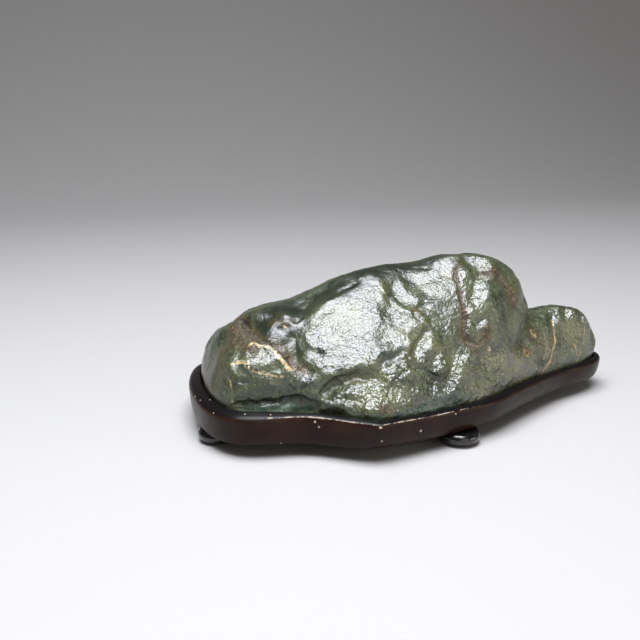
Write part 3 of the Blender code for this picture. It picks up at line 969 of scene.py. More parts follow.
# Its nearly flat faces, worked in this order.
PLANES: tuple[Plane, ...] = (
    Plane((-111, -36, 39), 14.0, (-0.15, -0.98, 0.1), 0.3),
    Plane((-95, -38, 40), 9.0, (-0.35, -0.93, 0.08), 0.3),
    Plane((-104, -40, 29), 12.0, (-0.12, -0.99, 0.0), 1.2, 4.0, 0.0),
    Plane((-119, -36, 29), 10.0, (-0.3, -0.95, 0.0), 1.2, 4.0, 0.0),
    Plane((-90, -44, 29), 10.0, (-0.2, -0.97, 0.0), 1.2, 4.0, 0.0),
    Plane((-75, -52, 28), 9.0, (-0.3, -0.95, 0.05), 0.8, 3.5, 0.0),
    Plane((-106, -31, 57), 10.0, (-0.24, -0.66, 0.71), 0.4, 8.0, 0.0),
    Plane((-107, -34, 51), 10.0, (-0.2, -0.82, 0.53), 0.5, 3.0, 0.6),
    Plane((-107, -27, 59), 8.5, (-0.24, -0.65, 0.72), 0.0, 3.5, 0.9),
    Plane((-103, -8, 71), 12.0, (-0.5, -0.22, 0.84), 0.6, 3.0, 0.5),
    Plane((-92, -16.5, 68), 3.0, GRAIN, 0.0, 2.0, 0.9),
    Plane((-84, -26, 61), 12.0, (-0.66, -0.5, 0.56), 1.0, 4.0),
    Plane((-50, -30, 74), 30.0, GRAIN, 0.9, 3.5, 0.45),
    Plane((-61, -44, 59), 14.0, (-0.25, -0.67, 0.7), 0.3, 3.0, 0.6),
    Plane((-44, -16, 88), 16.0, (-0.2, -0.58, 0.79), 0.6, 2.5, 0.4),
    Plane((-27, -38, 70), 13.0, (-0.22, -0.67, 0.71), 0.2, 3.5, 0.9),
    Plane((-17, -33, 74), 10.0, (-0.22, -0.66, 0.72), 0.0, 3.0, 0.9),
    Plane((-21, -23, 83), 12.0, (-0.22, -0.64, 0.74), 0.0, 3.0, 0.9),
    Plane((-13, -14, 88), 14.0, (-0.25, -0.62, 0.75), 0.1, 3.5, 0.8),
    Plane((6, -8, 94), 17.0, (-0.25, -0.62, 0.75), 0.1, 3.5, 0.8),
    Plane((-72, -6, 81), 14.0, (-0.52, -0.1, 0.85), 0.7, 2.5),
    Plane((-57, -2, 90), 12.0, (-0.32, -0.1, 0.94), 0.8, 2.5),
    Plane((-2, 4, 100), 9.0, (-0.02, -0.15, 0.99), 0.5, 2.0),
    Plane((20, -5, 99), 9.0, GRAIN, 0.2, 2.0),
    Plane((4, -25, 82), 15.0, (0.0, -0.76, 0.64), 0.5, 2.5),
    Plane((-37, -47, 59), 8.0, (0.1, -0.93, 0.35), 0.8, 2.5),
    Plane((-79, -33, 56), 6.0, GRAIN, 0.0, 2.0, 0.8),
    Plane((-70, -50, 33), 8.0, GRAIN, 0.0, 3.0, 0.9),
    Plane((-62, -52, 38), 10.0, GRAIN, 0.0, 3.0, 0.9),
    Plane((-52, -56, 40), 11.0, GRAIN, 0.0, 3.0, 0.9),
    Plane((-37, -53, 51), 9.0, GRAIN, 0.0, 2.5, 0.8),
    Plane((-12, -41, 62), 9.0, GRAIN, 0.0, 2.0, 0.8),
    Plane((-6, -46, 52), 8.0, GRAIN, 0.0, 3.0, 0.9),
    Plane((8, -43, 50), 9.0, GRAIN, 0.0, 3.0, 0.9),
    Plane((2, -51, 39), 8.0, GRAIN, 0.0, 3.0, 0.9),
    Plane((39, -5, 99), 11.0, (-0.27, -0.6, 0.75), 0.0, 3.0, 0.8),
    Plane((24, -17, 88), 8.0, (0.0, -0.82, 0.57), 0.5, 2.0),
    Plane((30, -21, 84), 6.0, GRAIN, 0.2, 2.0),
    Plane((28, -31, 69), 5.0, GRAIN, 0.0, 2.0, 0.6),
    Plane((39, -38, 42), 12.0, (0.15, -0.92, 0.36), 0.4),
    Plane((104, 12, 57), 6.0, GRAIN, 0.0, 2.5, 0.8),
    Plane((115, 16, 57), 7.0, GRAIN, 0.0, 2.5, 0.8),
    Plane((126, 19, 50), 5.0, GRAIN, 0.0, 2.0, 0.8),
    Plane((88, 2, 42), 12.0, (0.1, -0.92, 0.38), 0.6),
    Plane((112, 8, 40), 13.0, (0.35, -0.86, 0.38), 0.6),
    Plane((132, 18, 38), 9.0, (0.7, -0.66, 0.25), 0.4),
    Plane((-60, 40, 70), 22.0, (-0.25, 0.7, 0.67), 1.0, 3.0),
    Plane((-10, 40, 84), 20.0, (0.1, 0.62, 0.78), 0.9, 3.0),
    Plane((-20, 60, 50), 18.0, (0.05, 0.95, 0.3), 0.8, 3.0),
    Plane((40, 44, 72), 18.0, (0.3, 0.75, 0.6), 0.8, 3.0),
    Plane((30, 60, 42), 16.0, (0.2, 0.94, 0.25), 0.8, 3.0),
    Plane((-98, 46, 52), 16.0, (-0.4, 0.8, 0.45), 0.8, 3.0),
    Plane((78, 40, 52), 14.0, (0.25, 0.84, 0.48), 0.7, 3.0),
    Plane((112, 36, 48), 12.0, (0.3, 0.8, 0.5), 0.6),
)

# Where it is split into small steps.
TERRACES: tuple[Terrace, ...] = (
    Terrace(Patch((-50, -57, 38), (26, 14, 12), 0.8), 0.9, GRAIN),
    Terrace(Patch((-28, -54, 44), (15, 14, 13), 0.9), 0.9, GRAIN),
    Terrace(Patch((0, -48, 46), (19, 14, 14), 0.9), 0.9, GRAIN),
    Terrace(Patch((20, -42, 44), (14, 12, 12), 0.6), 0.7, GRAIN),
    Terrace(Patch((48, -32, 36), (20, 12, 10), 0.35), 0.6, GRAIN),
    Terrace(Patch((24, -20, 84), (10, 12, 18), 0.8), 0.9, GRAIN),
    Terrace(Patch((2, -34, 68), (14, 12, 10), 0.7), 0.8, GRAIN),
    Terrace(Patch((112, 14, 57), (18, 14, 9), 0.9), 0.8, GRAIN),
    Terrace(Patch((0, 62, 44), (60, 14, 20), 0.8), 1.1, BACK_GRAIN),
    Terrace(Patch((-96, 52, 44), (24, 14, 16), 0.6), 0.9, BACK_GRAIN),
    Terrace(Patch((96, 42, 40), (26, 12, 16), 0.6), 0.8, BACK_GRAIN),
)

# The steps broken across it.
LEDGES: tuple[Ledge, ...] = (
    Ledge(CREAM_LEDGE, 0.6, 4.0),
    Ledge(CREAM_LINE, 0.5, 3.5),
    Ledge(BLOCK_TOP, -0.3, 5.0),
    Ledge(UNDERCUT, 1.6, 6.0),
    Ledge(V_CRACK, -1.6, 8.0),
    Ledge(SHELF_RIDGE, 1.2, 5.0),
    Ledge(UNDER_SHELF, -0.6, 5.0),
)

# Its veins, seams and cracks; the dark lines along its creases, channels, wrinkles and undercut are
# painted shade.
SEAMS: tuple[Seam, ...] = (
    Seam(Filling.DARK, V_CRACK, 0.8, 1.6, 1.5),
    Seam(Filling.RUST, V_CRACK, 2.6),
    Seam(Filling.DARK, HOLLOW_TOP, 0.6, 0.4, 1.4),
    Seam(Filling.CREAM, CREAM_LEDGE, 1.6, 0.4, 1.0),
    Seam(Filling.CREAM, CREAM_LINE, 1.2, 0.3, 0.9),
    Seam(Filling.CREAM, CREAM_EDGE, 2.2),
    *(Seam(Filling.CREAM, route, 0.9, 0.2, 0.8) for route in CREAM_NET),
    Seam(Filling.DARK, BLOCK_TOP, 0.25, 0.2, 0.9),
    Seam(Filling.DARK, UNDERCUT, 0.7, 1.3, 1.2),
    Seam(Filling.DARK, BLOCK_CRACK, 0.4, 0.7, 0.9),
    Seam(Filling.DARK, BLOCK_CRACK_LOW, 0.4, 0.7, 0.9),
    Seam(Filling.OCHRE, BLOCK_END, 0.45, 0.4, 1.5),
    Seam(Filling.RUST, RUST_NET, 3.0),
    Seam(Filling.RUST, RUST_NET_TOP, 4.2),
    Seam(Filling.DARK, UNDER_SHELF, 0.2, 2.2, 3.4),
    Seam(Filling.DARK, LOW_CRACK, 0.6, 1.5, 1.5),
    Seam(Filling.DARK, CROSS_CRACK, 0.35, 0.8, 1.0),
    Seam(Filling.DARK, LOW_CHANNEL, 0.2, 1.6, 2.2),
    Seam(Filling.DARK, SIDE_CHANNEL, 0.2, 1.0, 1.6),
    Seam(Filling.DARK, UPPER_CREASE, 0.2, 1.4, 2.2),
    Seam(Filling.DARK, MAIN_CREASE, 0.25, 2.0, 2.6),
    *(Seam(Filling.DARK, route, 0.2, 0.4, 1.0) for route in SHEEN_WRINKLES),
    Seam(Filling.RUST, HUMP_SEAM, 1.7, 1.1, 1.5),
    Seam(Filling.DARK, HUMP_SEAM, 0.25),
    Seam(Filling.RUST, HUMP_FOOT, 3.4, 0.5, 1.6),
    Seam(Filling.RUST, RUST_SEAM, 3.0, 0.9, 1.6),
    Seam(Filling.DARK, INNER_SEAM, 0.35, 1.0, 1.4),
    Seam(Filling.DARK, NOTCH, 0.7, 1.2, 1.6),
    Seam(Filling.OCHRE, TAIL_VEIN, 1.0, 0.5, 1.1),
    Seam(Filling.OCHRE, END_VEIN, 0.9, 0.4, 1.0),
    Seam(Filling.OCHRE, END_VEIN_BRANCH, 0.7, 0.3, 0.9),
    Seam(Filling.OCHRE, SADDLE_RING, 1.4, 0.3, 1.0),
    Seam(Filling.OCHRE, LOWER_RING, 1.3, 0.3, 1.0),
    Seam(Filling.DARK, SADDLE, 0.05, 2.4, 5.5),
    Seam(Filling.DARK, BACK_CRACK, 0.6, 1.2, 1.5),
    Seam(Filling.RUST, BACK_SEAM, 1.8, 0.8, 1.5),
    Seam(Filling.CREAM, BACK_VEIN, 0.8, 0.3, 1.0),
    Seam(Filling.DARK, END_CRACK, 0.6, 1.0, 1.3),
    Seam(Filling.CREAM, TAIL_BACK_VEIN, 0.7, 0.3, 1.0),
)

# Stains and chips that follow no line.
SPOTS: tuple[tuple[Filling, Patch], ...] = (
    (Filling.RUST, Patch((-94.5, -9.5, 74), (4.5, 4.5, 2.6))),
    (Filling.DARK, Patch((-94, -8.8, 75), (3.6, 3.6, 2))),
    (Filling.RUST, Patch((78.2, -3.6, 52.1), (4, 4, 4))),
    (Filling.RUST, Patch((67.8, -15.6, 43.4), (3.6, 3.6, 3.6))),
    (Filling.RUST, Patch((66, -14, 38), (4, 4, 4))),
    (Filling.DARK, Patch((65.6, -12, 50.6), (2.2, 2.2, 1.6))),
    (Filling.CREAM, Patch((33.5, -35.3, 54.1), (1.8, 1.8, 2.2))),
    (Filling.CREAM, Patch((-91.5, -12.6, 70.5), (2, 2, 1))),
    (Filling.RUST, Patch((-44, -64, 32), (2.4, 2.4, 3))),
    (Filling.RUST, Patch((-30, 55, 64), (10, 6, 5))),
    (Filling.RUST, Patch((-96, 58, 48), (9, 5, 6))),
)

# Where its skin is smoother or rougher, duller, tinged or darkened with painted shade, and the zones
# that its material reads.
ZONES: dict[str, tuple[Patch, ...]] = {
    "smooth": patches(
        (47, -22, 72, 14, 15, 20), (2, -8, 94, 22, 14, 10, 0.8), (-113, -37, 40, 16, 9, 7, 0.9),
        (-138, -4, 42, 12, 24, 18, 0.8), (-104, -14, 70, 9, 9, 6, 0.9),
        (-20, 18, 102, 110, 14, 12, 0.6), (-66, -2, 84, 20, 14, 12, 0.7),
        (-50, -31, 74, 30, 30, 24, 0.9), (88, 0, 40, 12, 12, 14, 0.7),
        (-108, -29, 56, 14, 8, 8, 0.6), (-86, -4, 78, 26, 14, 12, 0.8),
        (-12, -14, 89, 24, 12, 10, 0.6), (58, -26, 42, 22, 12, 14, 0.7),
        (108, 10, 42, 24, 14, 12, 0.7), (-105, -43, 28, 36, 10, 6),
    ),
    "rough": patches(
        (-50, -58, 40, 34, 14, 12), (-10, -50, 44, 28, 16, 16), (22, -42, 44, 18, 12, 12, 0.8),
        (24, -14, 90, 9, 14, 14, 0.7), (112, 20, 60, 24, 14, 9, 0.8),
        (0, 62, 50, 60, 14, 16, 0.8),
    ),
    # Painted shade: the top band, hollows, valley beside the V crack, foot by the lip and left end.
    "deep": patches(
        (-86, 0, 79, 32, 15, 12, 0.9), (-45, 2, 96, 30, 12, 9, 0.9), (-6, 6, 103, 34, 12, 6, 0.9),
        (-102, -11, 71, 13, 12, 7, 0.8), (-46, -62, 30, 34, 8, 4, 0.5),
        (-97, -12, 72, 9, 9, 7, 0.6), (-56, -6, 90, 15, 9, 7, 0.7),
        (-138, -4, 42, 14, 26, 22, 0.5), (-111, -37, 38, 18, 9, 7, 0.3),
        (0, -52, 31, 36, 12, 8, 0.45), (-90, -25, 61, 9, 12, 10, 0.4),
    ),
    "dull": patches(
        (-138, -4, 42, 14, 26, 22, 0.9), (-121, -24, 51, 7, 7, 6, 0.9),
        (-97, -12, 72, 9, 9, 7, 0.9), (-56, -6, 90, 15, 9, 7, 0.9),
        (-90, -25, 61, 9, 12, 10, 0.9), (-104, -11, 72, 12, 12, 6), (-105, -43, 28, 36, 10, 7),
        (-45, -64, 28, 40, 10, 4, 0.8), (-86, 0, 79, 32, 14, 12), (-42, 2, 97, 32, 12, 9),
        (0, 8, 104, 34, 12, 6), (-111, -37, 38, 18, 9, 6, 0.7), (-113, -3, 65, 7, 14, 6, 0.6),
        (47, -22, 72, 14, 15, 20, 0.5), (88, 0, 40, 14, 14, 16, 0.6),
        (-58, -49, 47, 14, 6, 4, 0.8), (-35, -47, 58, 7, 6, 4, 0.8),
    ),
    # The olive tinge; at the left end it is partly painted warm bounce light.
    "olive": patches(
        (-138, -4, 42, 14, 26, 22, 0.8), (-116, -8, 62, 16, 20, 10, 0.45),
        (-114, -37, 40, 16, 8, 8, 0.35), (-24, -46, 55, 5, 8, 10, 0.8),
        (-12, -26, 79, 6, 6, 6, 0.7), (-58, -49, 47, 14, 6, 5, 0.7), (88, 0, 40, 14, 14, 16, 0.6),
    ),
    "teal": patches(
        (-105, -42, 28, 34, 10, 6, 0.8), (-104, -13, 71, 10, 10, 6, 0.75),
        (-40, -64, 28, 50, 10, 4, 0.6), (0, -52, 30, 34, 12, 7, 0.7),
        (112, 4, 28, 24, 14, 8, 0.6), (-72, -6, 81, 14, 12, 8, 0.35),
    ),
    "tan": patches(
        (28, -37, 53, 9, 7, 8, 0.6), (41, -34, 44, 14, 9, 10, 0.55),
        (56, -26, 41, 14, 9, 12, 0.55), (70, -16, 38, 10, 9, 12, 0.6),
        (112, 8, 42, 30, 16, 16, 0.35), (84, -4, 42, 14, 12, 14, 0.4),
        (-108, -32, 54, 14, 8, 8, 0.45), (-50, -60, 36, 30, 12, 8, 0.35),
        (30, 60, 46, 24, 8, 10, 0.45),
    ),
}
SEEN_ZONES = ("olive", "teal", "tan", "deep", "dull", "rough")


@dataclass
class ViewingStone:
    """The stone, one natural piece, sculpted finer than its CAD node and dressed with its seams.

    Attributes:
        voxel: The spacing of its skin in millimetres.
        easing: How many times the skin is smoothed before it is sculpted.
        rounding: How many times the edges of its flat faces are smoothed.
        fine_easing: How many times the skin is smoothed once it is made finer in front.
        fine_reach: How far from a seam the skin is made twice as fine, in millimetres.
        fine_from: How far above its underside that begins, in millimetres.
        stray: How far its lines wander off their routes, in millimetres.
        stray_size: The length of those wanders in millimetres.
        seed: Which of the possible wanders they take.
        skin: Its vertices.
        clear: 1 at each vertex that is clear of the stand's lip, and 0 below it.
        shown: 1 at each vertex that may be seen past the lip, and 0 deep in the seat.
    """

    voxel: float = 1.45
    quick_voxel: float = 2.0
    easing: int = 5
    rounding: int = 14
    fine_easing: int = 2
    fine_reach: float = 3.0
    fine_from: float = 10.0
    stray: float = 1.0
    stray_size: float = 6.0
    seed: int = 5
    skin: Skin = field(init=False)
    clear: np.ndarray = field(init=False)
    shown: np.ndarray = field(init=False)

    def above_lip(self) -> np.ndarray:
        """Measure the stone against the stand's lip beside it.

        Returns:
            How far each vertex lies above the lip, in millimetres.
        """
        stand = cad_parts["daiza"].data.vertices
        rim = [v.co / MM for v in stand if v.co.z > RIM_FLOOR * MM]
        tree = search_tree([Vector((place.x, place.y, 0.0)) for place in rim])
        beside = [tree.find_n((x, y, 0.0), 3) for x, y, _ in self.skin.start]
        lip = np.array([max(rim[i].z for _, i, _ in near) for near in beside])
        return self.skin.start[:, 2] - lip

    def work(self, height: np.ndarray) -> None:
        """Push the skin out where it is clear of the lip, or in also just below it.

        Args:
            height: The height at each vertex in millimetres.
        """
        self.skin.push(height * np.where(height > 0.0, self.clear, self.shown))

    def zone(self, name: str) -> np.ndarray:
        """The strength of a named zone at each vertex, no more than 1."""
        return np.clip(sum(patch.over(self.skin.start) for patch in ZONES[name]), 0.0, 1.0)

    def faces_and_folds(self) -> None:
        """The flat faces, and the lumps and folds of the weathered skin between them."""
        skin = self.skin
        coarse = 1.0 - 0.7 * self.zone("smooth")
        rough = self.zone("rough")
        ragged = skin.grain(14.0, 2, 67.0)
        for plane in PLANES:
            facing, move = plane.moves(skin.points, ragged)
            move *= np.where(move > 0.0, self.clear, self.shown)
            skin.points += move[:, None] * facing
        skin.settle()
        skin.ease(self.rounding)
        swells = skin.grain(14.0, 2, 3.0)
        lumps = skin.grain(6.0, 3, 11.0)
        folds = 1.0 - 2.0 * np.abs(skin.grain(8.0, 3, 23.0))
        pores = skin.grain(2.4, 2, 31.0)
        height = 0.35 * swells
        height += coarse * (0.3 + 0.25 * rough) * lumps
        height += coarse * (0.25 + 0.3 * rough) * folds
        height += (0.12 + 0.06 * rough) * pores
        self.work(height)
        skin.settle()

    def split_steps(self) -> None:
        """Small steps whose treads all lie along the stone's grain, as it splits."""
        skin = self.skin
        drift = 1.1 * skin.grain(15.0, 2, 41.0) + 0.5 * skin.grain(4.5, 2, 57.0)
        for terrace in TERRACES:
            facing = unit(terrace.facing)
            level = skin.points @ facing / terrace.rise + drift
            whole = np.floor(level)
            stepped = whole + soft_step(0.3, 0.7, level - whole)
            ground = 1.8 * terrace.ground.over(skin.start) - 0.4 + 0.5 * drift
            outward = soft_step(0.1, 0.5, skin.facing @ facing)
            share = self.clear * np.clip(ground, 0.0, 1.0) * outward
            move = share * terrace.rise * (stepped - level)
            skin.points += move[:, None] * facing
        skin.settle()

    def lines(self) -> None:
        """Break ledges and grooves along the stone's lines, which wander off their routes."""
        skin = self.skin
        noise.seed_set(self.seed)
        wander = np.array([noise.noise_vector(Vector(p) / self.stray_size) for p in skin.start])
        places = skin.start + self.stray * wander
        for ledge in LEDGES:
            distance, along, above = distance_to(places, ledge.route)
            lower = math.copysign(LEDGE_EDGE, ledge.drop)
            side = tapered(along, 0.12) * soft_step(lower, -lower, above)
            fade = np.exp(-((distance / ledge.fade) ** 2))
            self.work(-abs(ledge.drop) * side * fade)
        skin.settle()
        for seam in SEAMS:
            distance, along, _ = distance_to(places, seam.route)
            groove = np.exp(-np.abs(distance / seam.groove_width) ** 1.6)
            self.work(-seam.groove * tapered(along, 0.1) * groove)
        skin.settle()
        for filling in Filling:
            reach = np.full(skin.count, 4.0)
            for seam in SEAMS:
                if seam.filling is filling:
                    distance, _, _ = distance_to(places, seam.route)
                    reach = np.minimum(reach, distance / seam.width)
            for kind, spot in SPOTS:
                if kind is filling:
                    reach = np.minimum(reach, spot.reach(skin.start))
            skin.store(filling.value, reach)

    def refine(self, piece: bpy.types.Object) -> None:
        """Make the skin twice as fine in front and near the seams, where its detail is.

        Args:
            piece: The stone in the making.
        """
        skin = Skin(piece)
        near = skin.facing[:, 1] < -0.2
        for seam in SEAMS:
            near |= distance_to(skin.points, seam.route)[0] < self.fine_reach
        near &= skin.points[:, 2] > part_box("stone")[0].z / MM + self.fine_from
        with editing(piece):
            select_faces(piece, lambda face: all(near[v.index] for v in face.verts))
            bpy.ops.mesh.subdivide(number_cuts=1)
        apply_modifier(piece, "SMOOTH", iterations=self.fine_easing, factor=EASE)

    def build(self) -> bpy.types.Object:
        """Model the stone and dress it.

        Returns:
            The finished piece.
        """
        piece = copy_of_node("stone", "waxed_viewing_stone")
        spacing = self.voxel * MM
        apply_modifier(piece, "REMESH", mode="VOXEL", voxel_size=spacing)
        apply_modifier(piece, "SMOOTH", iterations=self.easing, factor=EASE)
        self.refine(piece)
        self.skin = Skin(piece)
        above = self.above_lip()
        self.clear = soft_step(-0.6, 1.6, above)
        self.shown = soft_step(-7.0, -3.0, above)
        self.faces_and_folds()
        self.split_steps()
        self.lines()
        for name in SEEN_ZONES:
            self.skin.store(name, self.zone(name))
        self.flatten_hidden_foot(piece)
        select_only(piece)
        bpy.ops.object.shade_smooth()
        dress(piece, WaxedStone(), "waxed_stone", "stone")
        return piece

    def flatten_hidden_foot(self, piece: bpy.types.Object) -> None:
        """Join the many small faces of the flat underside, which the seat hides, to a few.

        Args:
            piece: The stone in the making.
        """
        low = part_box("stone")[0].z

        def underside(face: bmesh.types.BMFace) -> bool:
            """Whether a face is part of the flat underside."""
            return face.normal.z < -0.98 and face.calc_center_median().z < low + 1.0 * MM

        with editing(piece):
            select_faces(piece, underside)
            bpy.ops.mesh.dissolve_limited(angle_limit=math.radians(8.0))


@dataclass
class CarvedStand:
    """The carved stand, rounder and finer than its CAD node, with its rim worn pale.

    Attributes:
        levels: How often its faces are subdivided.
        rim_step: The spacing of the points along its rim in millimetres.
        chips: Where the lacquer is knocked off: each chip's centre and radius in millimetres.
    """

    levels: int = 2
    rim_step: float = 0.5
    chips: tuple[tuple[Point, float], ...] = (
        ((-49.7, -73.5, 25.4), 1.3),
        ((-22.4, -65.3, 17.3), 1.0),
        ((-48.0, -70.7, 15.6), 0.8),
        ((-83.2, -52.7, 24.0), 0.75),
        ((-81.1, -53.8, 21.1), 0.7),
        ((-139.2, -29.7, 26.1), 0.55),
        ((-139.2, -14.1, 28.8), 0.55),
        ((-146.8, 0.0, 26.3), 0.7),
        ((-144.7, -9.2, 27.2), 0.6),
        ((-122.3, -41.5, 28.4), 0.5),
        ((-107.9, -45.2, 28.1), 0.5),
        ((-102.2, -46.4, 9.8), 0.7),
        ((1.8, -59.1, 23.2), 0.6),
    )

    def build(self) -> bpy.types.Object:
        """Model the stand and dress it.

        Returns:
            The finished piece.
        """
        piece = copy_of_node("daiza", "carved_stand")
        rim = self.rim_points(piece)
        self.open_flats(piece)
        apply_modifier(
            piece, "SUBSURF", levels=self.levels, render_levels=self.levels,
            boundary_smooth="PRESERVE_CORNERS",
        )
        self.close_flats(piece)
        skin = Skin(piece)
        skin.push(0.12 * skin.grain(26.0, 2, 5.0) - 0.06)
        skin.settle()
        tree = search_tree(rim)
        skin.store("edge", np.array([tree.find(p)[2] for p in skin.points]))
        # How far each face turns upwards, where the lacquer is painted darker as shade.
        skin.store("top", soft_step(0.45, 0.85, skin.facing[:, 2]))
        worn = soft_step(60.0, -20.0, skin.points[:, 0]) * soft_step(20.0, -20.0, skin.points[:, 1])
        skin.store("worn", 0.5 * worn * soft_step(-134.0, -112.0, skin.points[:, 0]))
        select_only(piece)
        bpy.ops.object.shade_smooth_by_angle(angle=math.radians(50.0))
        dress(piece, WornLacquer(chips=self.chips), "lacquered_wood", "daiza")
        return piece

    def rim_points(self, piece: bpy.types.Object) -> list[Vector]:
        """Space points along the outer rim, which is found where wall and lip meet.

        Args:
            piece: The merged copy of the stand.

        Returns:
            The points in millimetres.
        """
        bm = bmesh.new()
        bm.from_mesh(piece.data)
        bm.normal_update()
        found = []
        for edge in bm.edges:
            if len(edge.link_faces) != 2:
                continue
            steep, flat = sorted(edge.link_faces, key=lambda face: face.normal.z)
            middle = (edge.verts[0].co + edge.verts[1].co) / 2.0
            outward = steep.normal.x * middle.x + steep.normal.y * (middle.y - 0.01)
            turns = flat.normal.z > 0.7 and steep.normal.z < 0.62
            if turns and outward > 0.0 and middle.z > RIM_FLOOR * MM:
                start, end = edge.verts[0].co / MM, edge.verts[1].co / MM
                steps = max(int((end - start).length / self.rim_step), 1)
                found += [start.lerp(end, i / steps) for i in range(steps)]
        bm.free()
        return found

    def open_flats(self, piece: bpy.types.Object) -> None:
        """Take off the flat underside and seat floor, and join the walls' triangles to quads.

        Args:
            piece: The merged copy of the stand.
        """
        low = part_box("daiza")[0].z
        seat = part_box("stone")[0].z

        def hidden_flat(face: bmesh.types.BMFace) -> bool:
            """Whether a face is part of the underside or of the seat's floor."""
            z = face.calc_center_median().z
            return abs(face.normal.z) > 0.999 and (z < low + 0.1 * MM or z < seat)

        with editing(piece):
            select_faces(piece, hidden_flat)
            bpy.ops.mesh.delete(type="FACE")
            bpy.ops.mesh.select_all(action="SELECT")
            bpy.ops.mesh.tris_convert_to_quads()

    def close_flats(self, piece: bpy.types.Object) -> None:
        """Close the underside and the seat floor again, each with one flat face.

        Args:
            piece: The stand in the making.
        """
        with editing(piece, "EDGE"):
            bpy.ops.mesh.select_non_manifold()
            bpy.ops.mesh.edge_face_add()
            bpy.ops.mesh.select_all(action="SELECT")
            bpy.ops.mesh.normals_make_consistent(inside=False)


@dataclass
class BunFeet:
    """The four turned feet under the stand, all spun from one profile.

    Attributes:
        sides: How many steps a foot is spun in.
        flat: The radius of the flat that a foot stands on, in millimetres.
        waist_up: The share of a foot's height at which it is widest.
        steps: How many steps its section is drawn in.
        nodes: The CAD nodes that the feet stand for.
    """

    sides: int = 72
    flat: float = 5.0
    waist_up: float = 0.62
    steps: int = 14
    nodes: tuple[str, ...] = (
        "foot_front_left", "foot_front_right", "foot_back_left", "foot_back_right",
    )

    def build(self) -> list[bpy.types.Object]:
        """Model the feet and dress them.

        Returns:
            The finished pieces.
        """
        finish = GlossLacquer()
        feet = []
        for node in self.nodes:
            foot = self.turned(node)
            dress(foot, finish, "black_lacquer", node)
            feet.append(foot)
        return feet

    def profile(self, radius: float, height: float) -> list[tuple[float, float]]:
        """The half section of a foot, from the middle of its top to the middle of its underside.

        Args:
            radius: The foot's radius in metres.
            height: Its height in metres.

        Returns:
            Distances from its axis and heights in metres.
        """
        flat = self.flat * MM
        over = math.asin((1.0 - self.waist_up) / self.waist_up)
        points = [(0.0, height)]
        for step in range(self.steps + 1):
            angle = over - (over + math.pi / 2.0) * step / self.steps
            out = flat + (radius - flat) * math.cos(angle)
            points.append((out, height * self.waist_up * (1.0 + math.sin(angle))))
        return [*points, (0.0, 0.0)]

    def turned(self, node: str) -> bpy.types.Object:
        """Spin one foot on its own axis.

        Args:
            node: The CAD node whose place and size it takes.

        Returns:
            The foot.
        """
        low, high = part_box(node)
        middle = (low + high) / 2.0
        points = self.profile((high.x - low.x) / 2.0, high.z - low.z)
        mesh = bpy.data.meshes.new("turned_" + node)
        verts = [(middle.x + out, middle.y, low.z + up) for out, up in points]
        mesh.from_pydata(verts, [(i, i + 1) for i in range(len(verts) - 1)], [])
        foot = bpy.data.objects.new("turned_" + node, mesh)
        bpy.context.scene.collection.objects.link(foot)
        centre = (middle.x, middle.y, 0.0)
        with editing(foot, "VERT", "SELECT"):
            bpy.ops.mesh.spin(
                steps=self.sides, angle=math.tau, center=centre, axis=(0.0, 0.0, 1.0)
            )
            bpy.ops.mesh.select_all(action="SELECT")
            bpy.ops.mesh.remove_doubles(threshold=0.01 * MM)
            bpy.ops.mesh.normals_make_consistent(inside=False)
        bpy.ops.object.shade_smooth_by_angle(angle=math.radians(40.0))
        return foot


@dataclass(frozen=True)
class Softbox:
    """A soft rectangular light.

    Attributes:
        name: Its name.
        place: Where it hangs, in metres.
        aim: The point it faces, in metres.
        size: Its width and depth in metres.
        power: Its power in watts.
        colour: The tint of its light in hex.
    """

    name: str
    place: Point
    aim: Point
    size: tuple[float, float]
    power: float
    colour: str = "#FFFFFF"

    def hang(self) -> None:
        """Hang the light in the scene and turn it to what it faces."""
        bpy.ops.object.light_add(type="AREA", location=self.place)
        lamp = bpy.context.active_object
        lamp.name = self.name
        lamp.data.shape = "RECTANGLE"
        lamp.data.size, lamp.data.size_y = self.size
        lamp.data.energy = self.power
        lamp.data.color = linear(self.colour)[:3]
        facing = Vector(self.aim) - Vector(self.place)
        lamp.rotation_euler = facing.to_track_quat("-Z", "Y").to_euler()


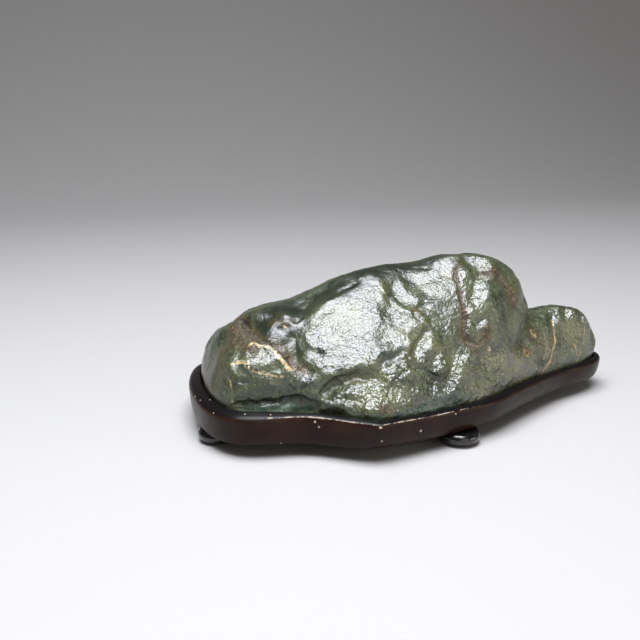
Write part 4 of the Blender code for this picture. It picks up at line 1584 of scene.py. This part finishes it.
@dataclass
class Studio:
    """The plain pale floor, the soft lights and the camera at the photograph's viewing angle.

    Attributes:
        floor_size: The floor's width and depth in metres.
        floor_middle: The middle of the floor in metres.
        sweep_height: How high its edges are swept up, in metres.
        sweep_radius: The radius of that sweep in metres.
        floor_colour: Its colour in hex.
        world_colour: The colour of the light from all around, in hex.
        world_strength: How strong that light is.
        camera_place: Where the camera stands, in millimetres.
        camera_tilt: How far it looks down, in degrees.
        camera_turn: How far it is turned to the right, in degrees.
        focal_px: Its focal length in pixels of the image.
        image_px: The width of the image in pixels.
        sensor_mm: The width of its sensor in millimetres.
        lights: The soft lights.
    """

    floor_size: float = 5.0
    floor_middle: Point = (0.0, -0.3, 0.0)
    sweep_height: float = 1.7
    sweep_radius: float = 1.3
    floor_colour: str = "#ADACA9"
    world_colour: str = "#A3A19C"
    world_strength: float = 0.28
    camera_place: Point = (-196.7, -520.0, 220.7)
    camera_tilt: float = 15.707
    camera_turn: float = 14.0
    focal_px: float = 889.0
    image_px: float = 640.0
    sensor_mm: float = 36.0
    lights: tuple[Softbox, ...] = (
        Softbox(
            "overhead_softbox", (-0.17, -0.22, 1.1), (-0.02, 0.0, 0.05), (0.75, 0.6), 20.0,
            "#F4F6FF",
        ),
        Softbox(
            "overhead_silk", (-0.17, -0.24, 1.12), (-0.02, 0.0, 0.05), (1.15, 1.0), 14.0, "#F4F6FF"
        ),
        Softbox("front_softbox", (0.25, -1.6, 0.5), (0.0, 0.0, 0.05), (1.3, 0.8), 3.5),
        Softbox("right_softbox", (1.3, -0.9, 0.35), (0.05, 0.0, 0.05), (0.9, 0.5), 4.5, "#FFF3E2"),
    )

    def floor(self) -> None:
        """Lay a wide floor that sweeps up to a backdrop well away from the stone on all sides."""
        bpy.ops.object.select_all(action="DESELECT")
        bpy.ops.mesh.primitive_plane_add(size=self.floor_size, location=self.floor_middle)
        floor = bpy.context.active_object
        floor.name = "floor"
        rise = {"value": (0.0, 0.0, self.sweep_height)}
        with editing(floor, "EDGE", "SELECT"):
            bpy.ops.mesh.extrude_edges_move(TRANSFORM_OT_translate=rise)
        apply_modifier(floor, "BEVEL", width=self.sweep_radius, segments=32, limit_method="ANGLE")
        bpy.ops.object.shade_smooth()
        paper = Recipe("pale_paper", {})
        look = {"Base Color": linear(self.floor_colour), "Roughness": 0.75}
        floor.data.materials.append(paper.done(look))

    def camera(self) -> None:
        """Stand the camera where the photograph was taken from."""
        bpy.ops.object.camera_add()
        camera = bpy.context.active_object
        camera.name = "camera"
        camera.location = Vector(self.camera_place) * MM
        camera.rotation_euler = (
            math.radians(90.0 - self.camera_tilt), 0.0, math.radians(-self.camera_turn)
        )
        camera.data.sensor_width = self.sensor_mm
        camera.data.lens = self.focal_px / self.image_px * self.sensor_mm
        camera.data.clip_start = 0.01
        camera.data.clip_end = 50.0
        bpy.context.scene.camera = camera

    def build(self) -> None:
        """Set up the floor, the lights, the world and the camera."""
        self.floor()
        for light in self.lights:
            light.hang()
        world = bpy.data.worlds.new("studio")
        world.use_nodes = True
        around = world.node_tree.nodes["Background"].inputs
        around["Color"].default_value = linear(self.world_colour)
        around["Strength"].default_value = self.world_strength
        bpy.context.scene.world = world
        bpy.context.scene.view_settings.view_transform = "Standard"
        self.camera()


def main() -> None:
    """Build the stone, its stand and feet and the studio."""
    logging.basicConfig(level=logging.INFO, format="%(message)s")
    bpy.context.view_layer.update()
    ViewingStone().build()
    CarvedStand().build()
    BunFeet().build()
    Studio().build()
    bpy.context.view_layer.update()


if __name__ == "__main__":
    main()
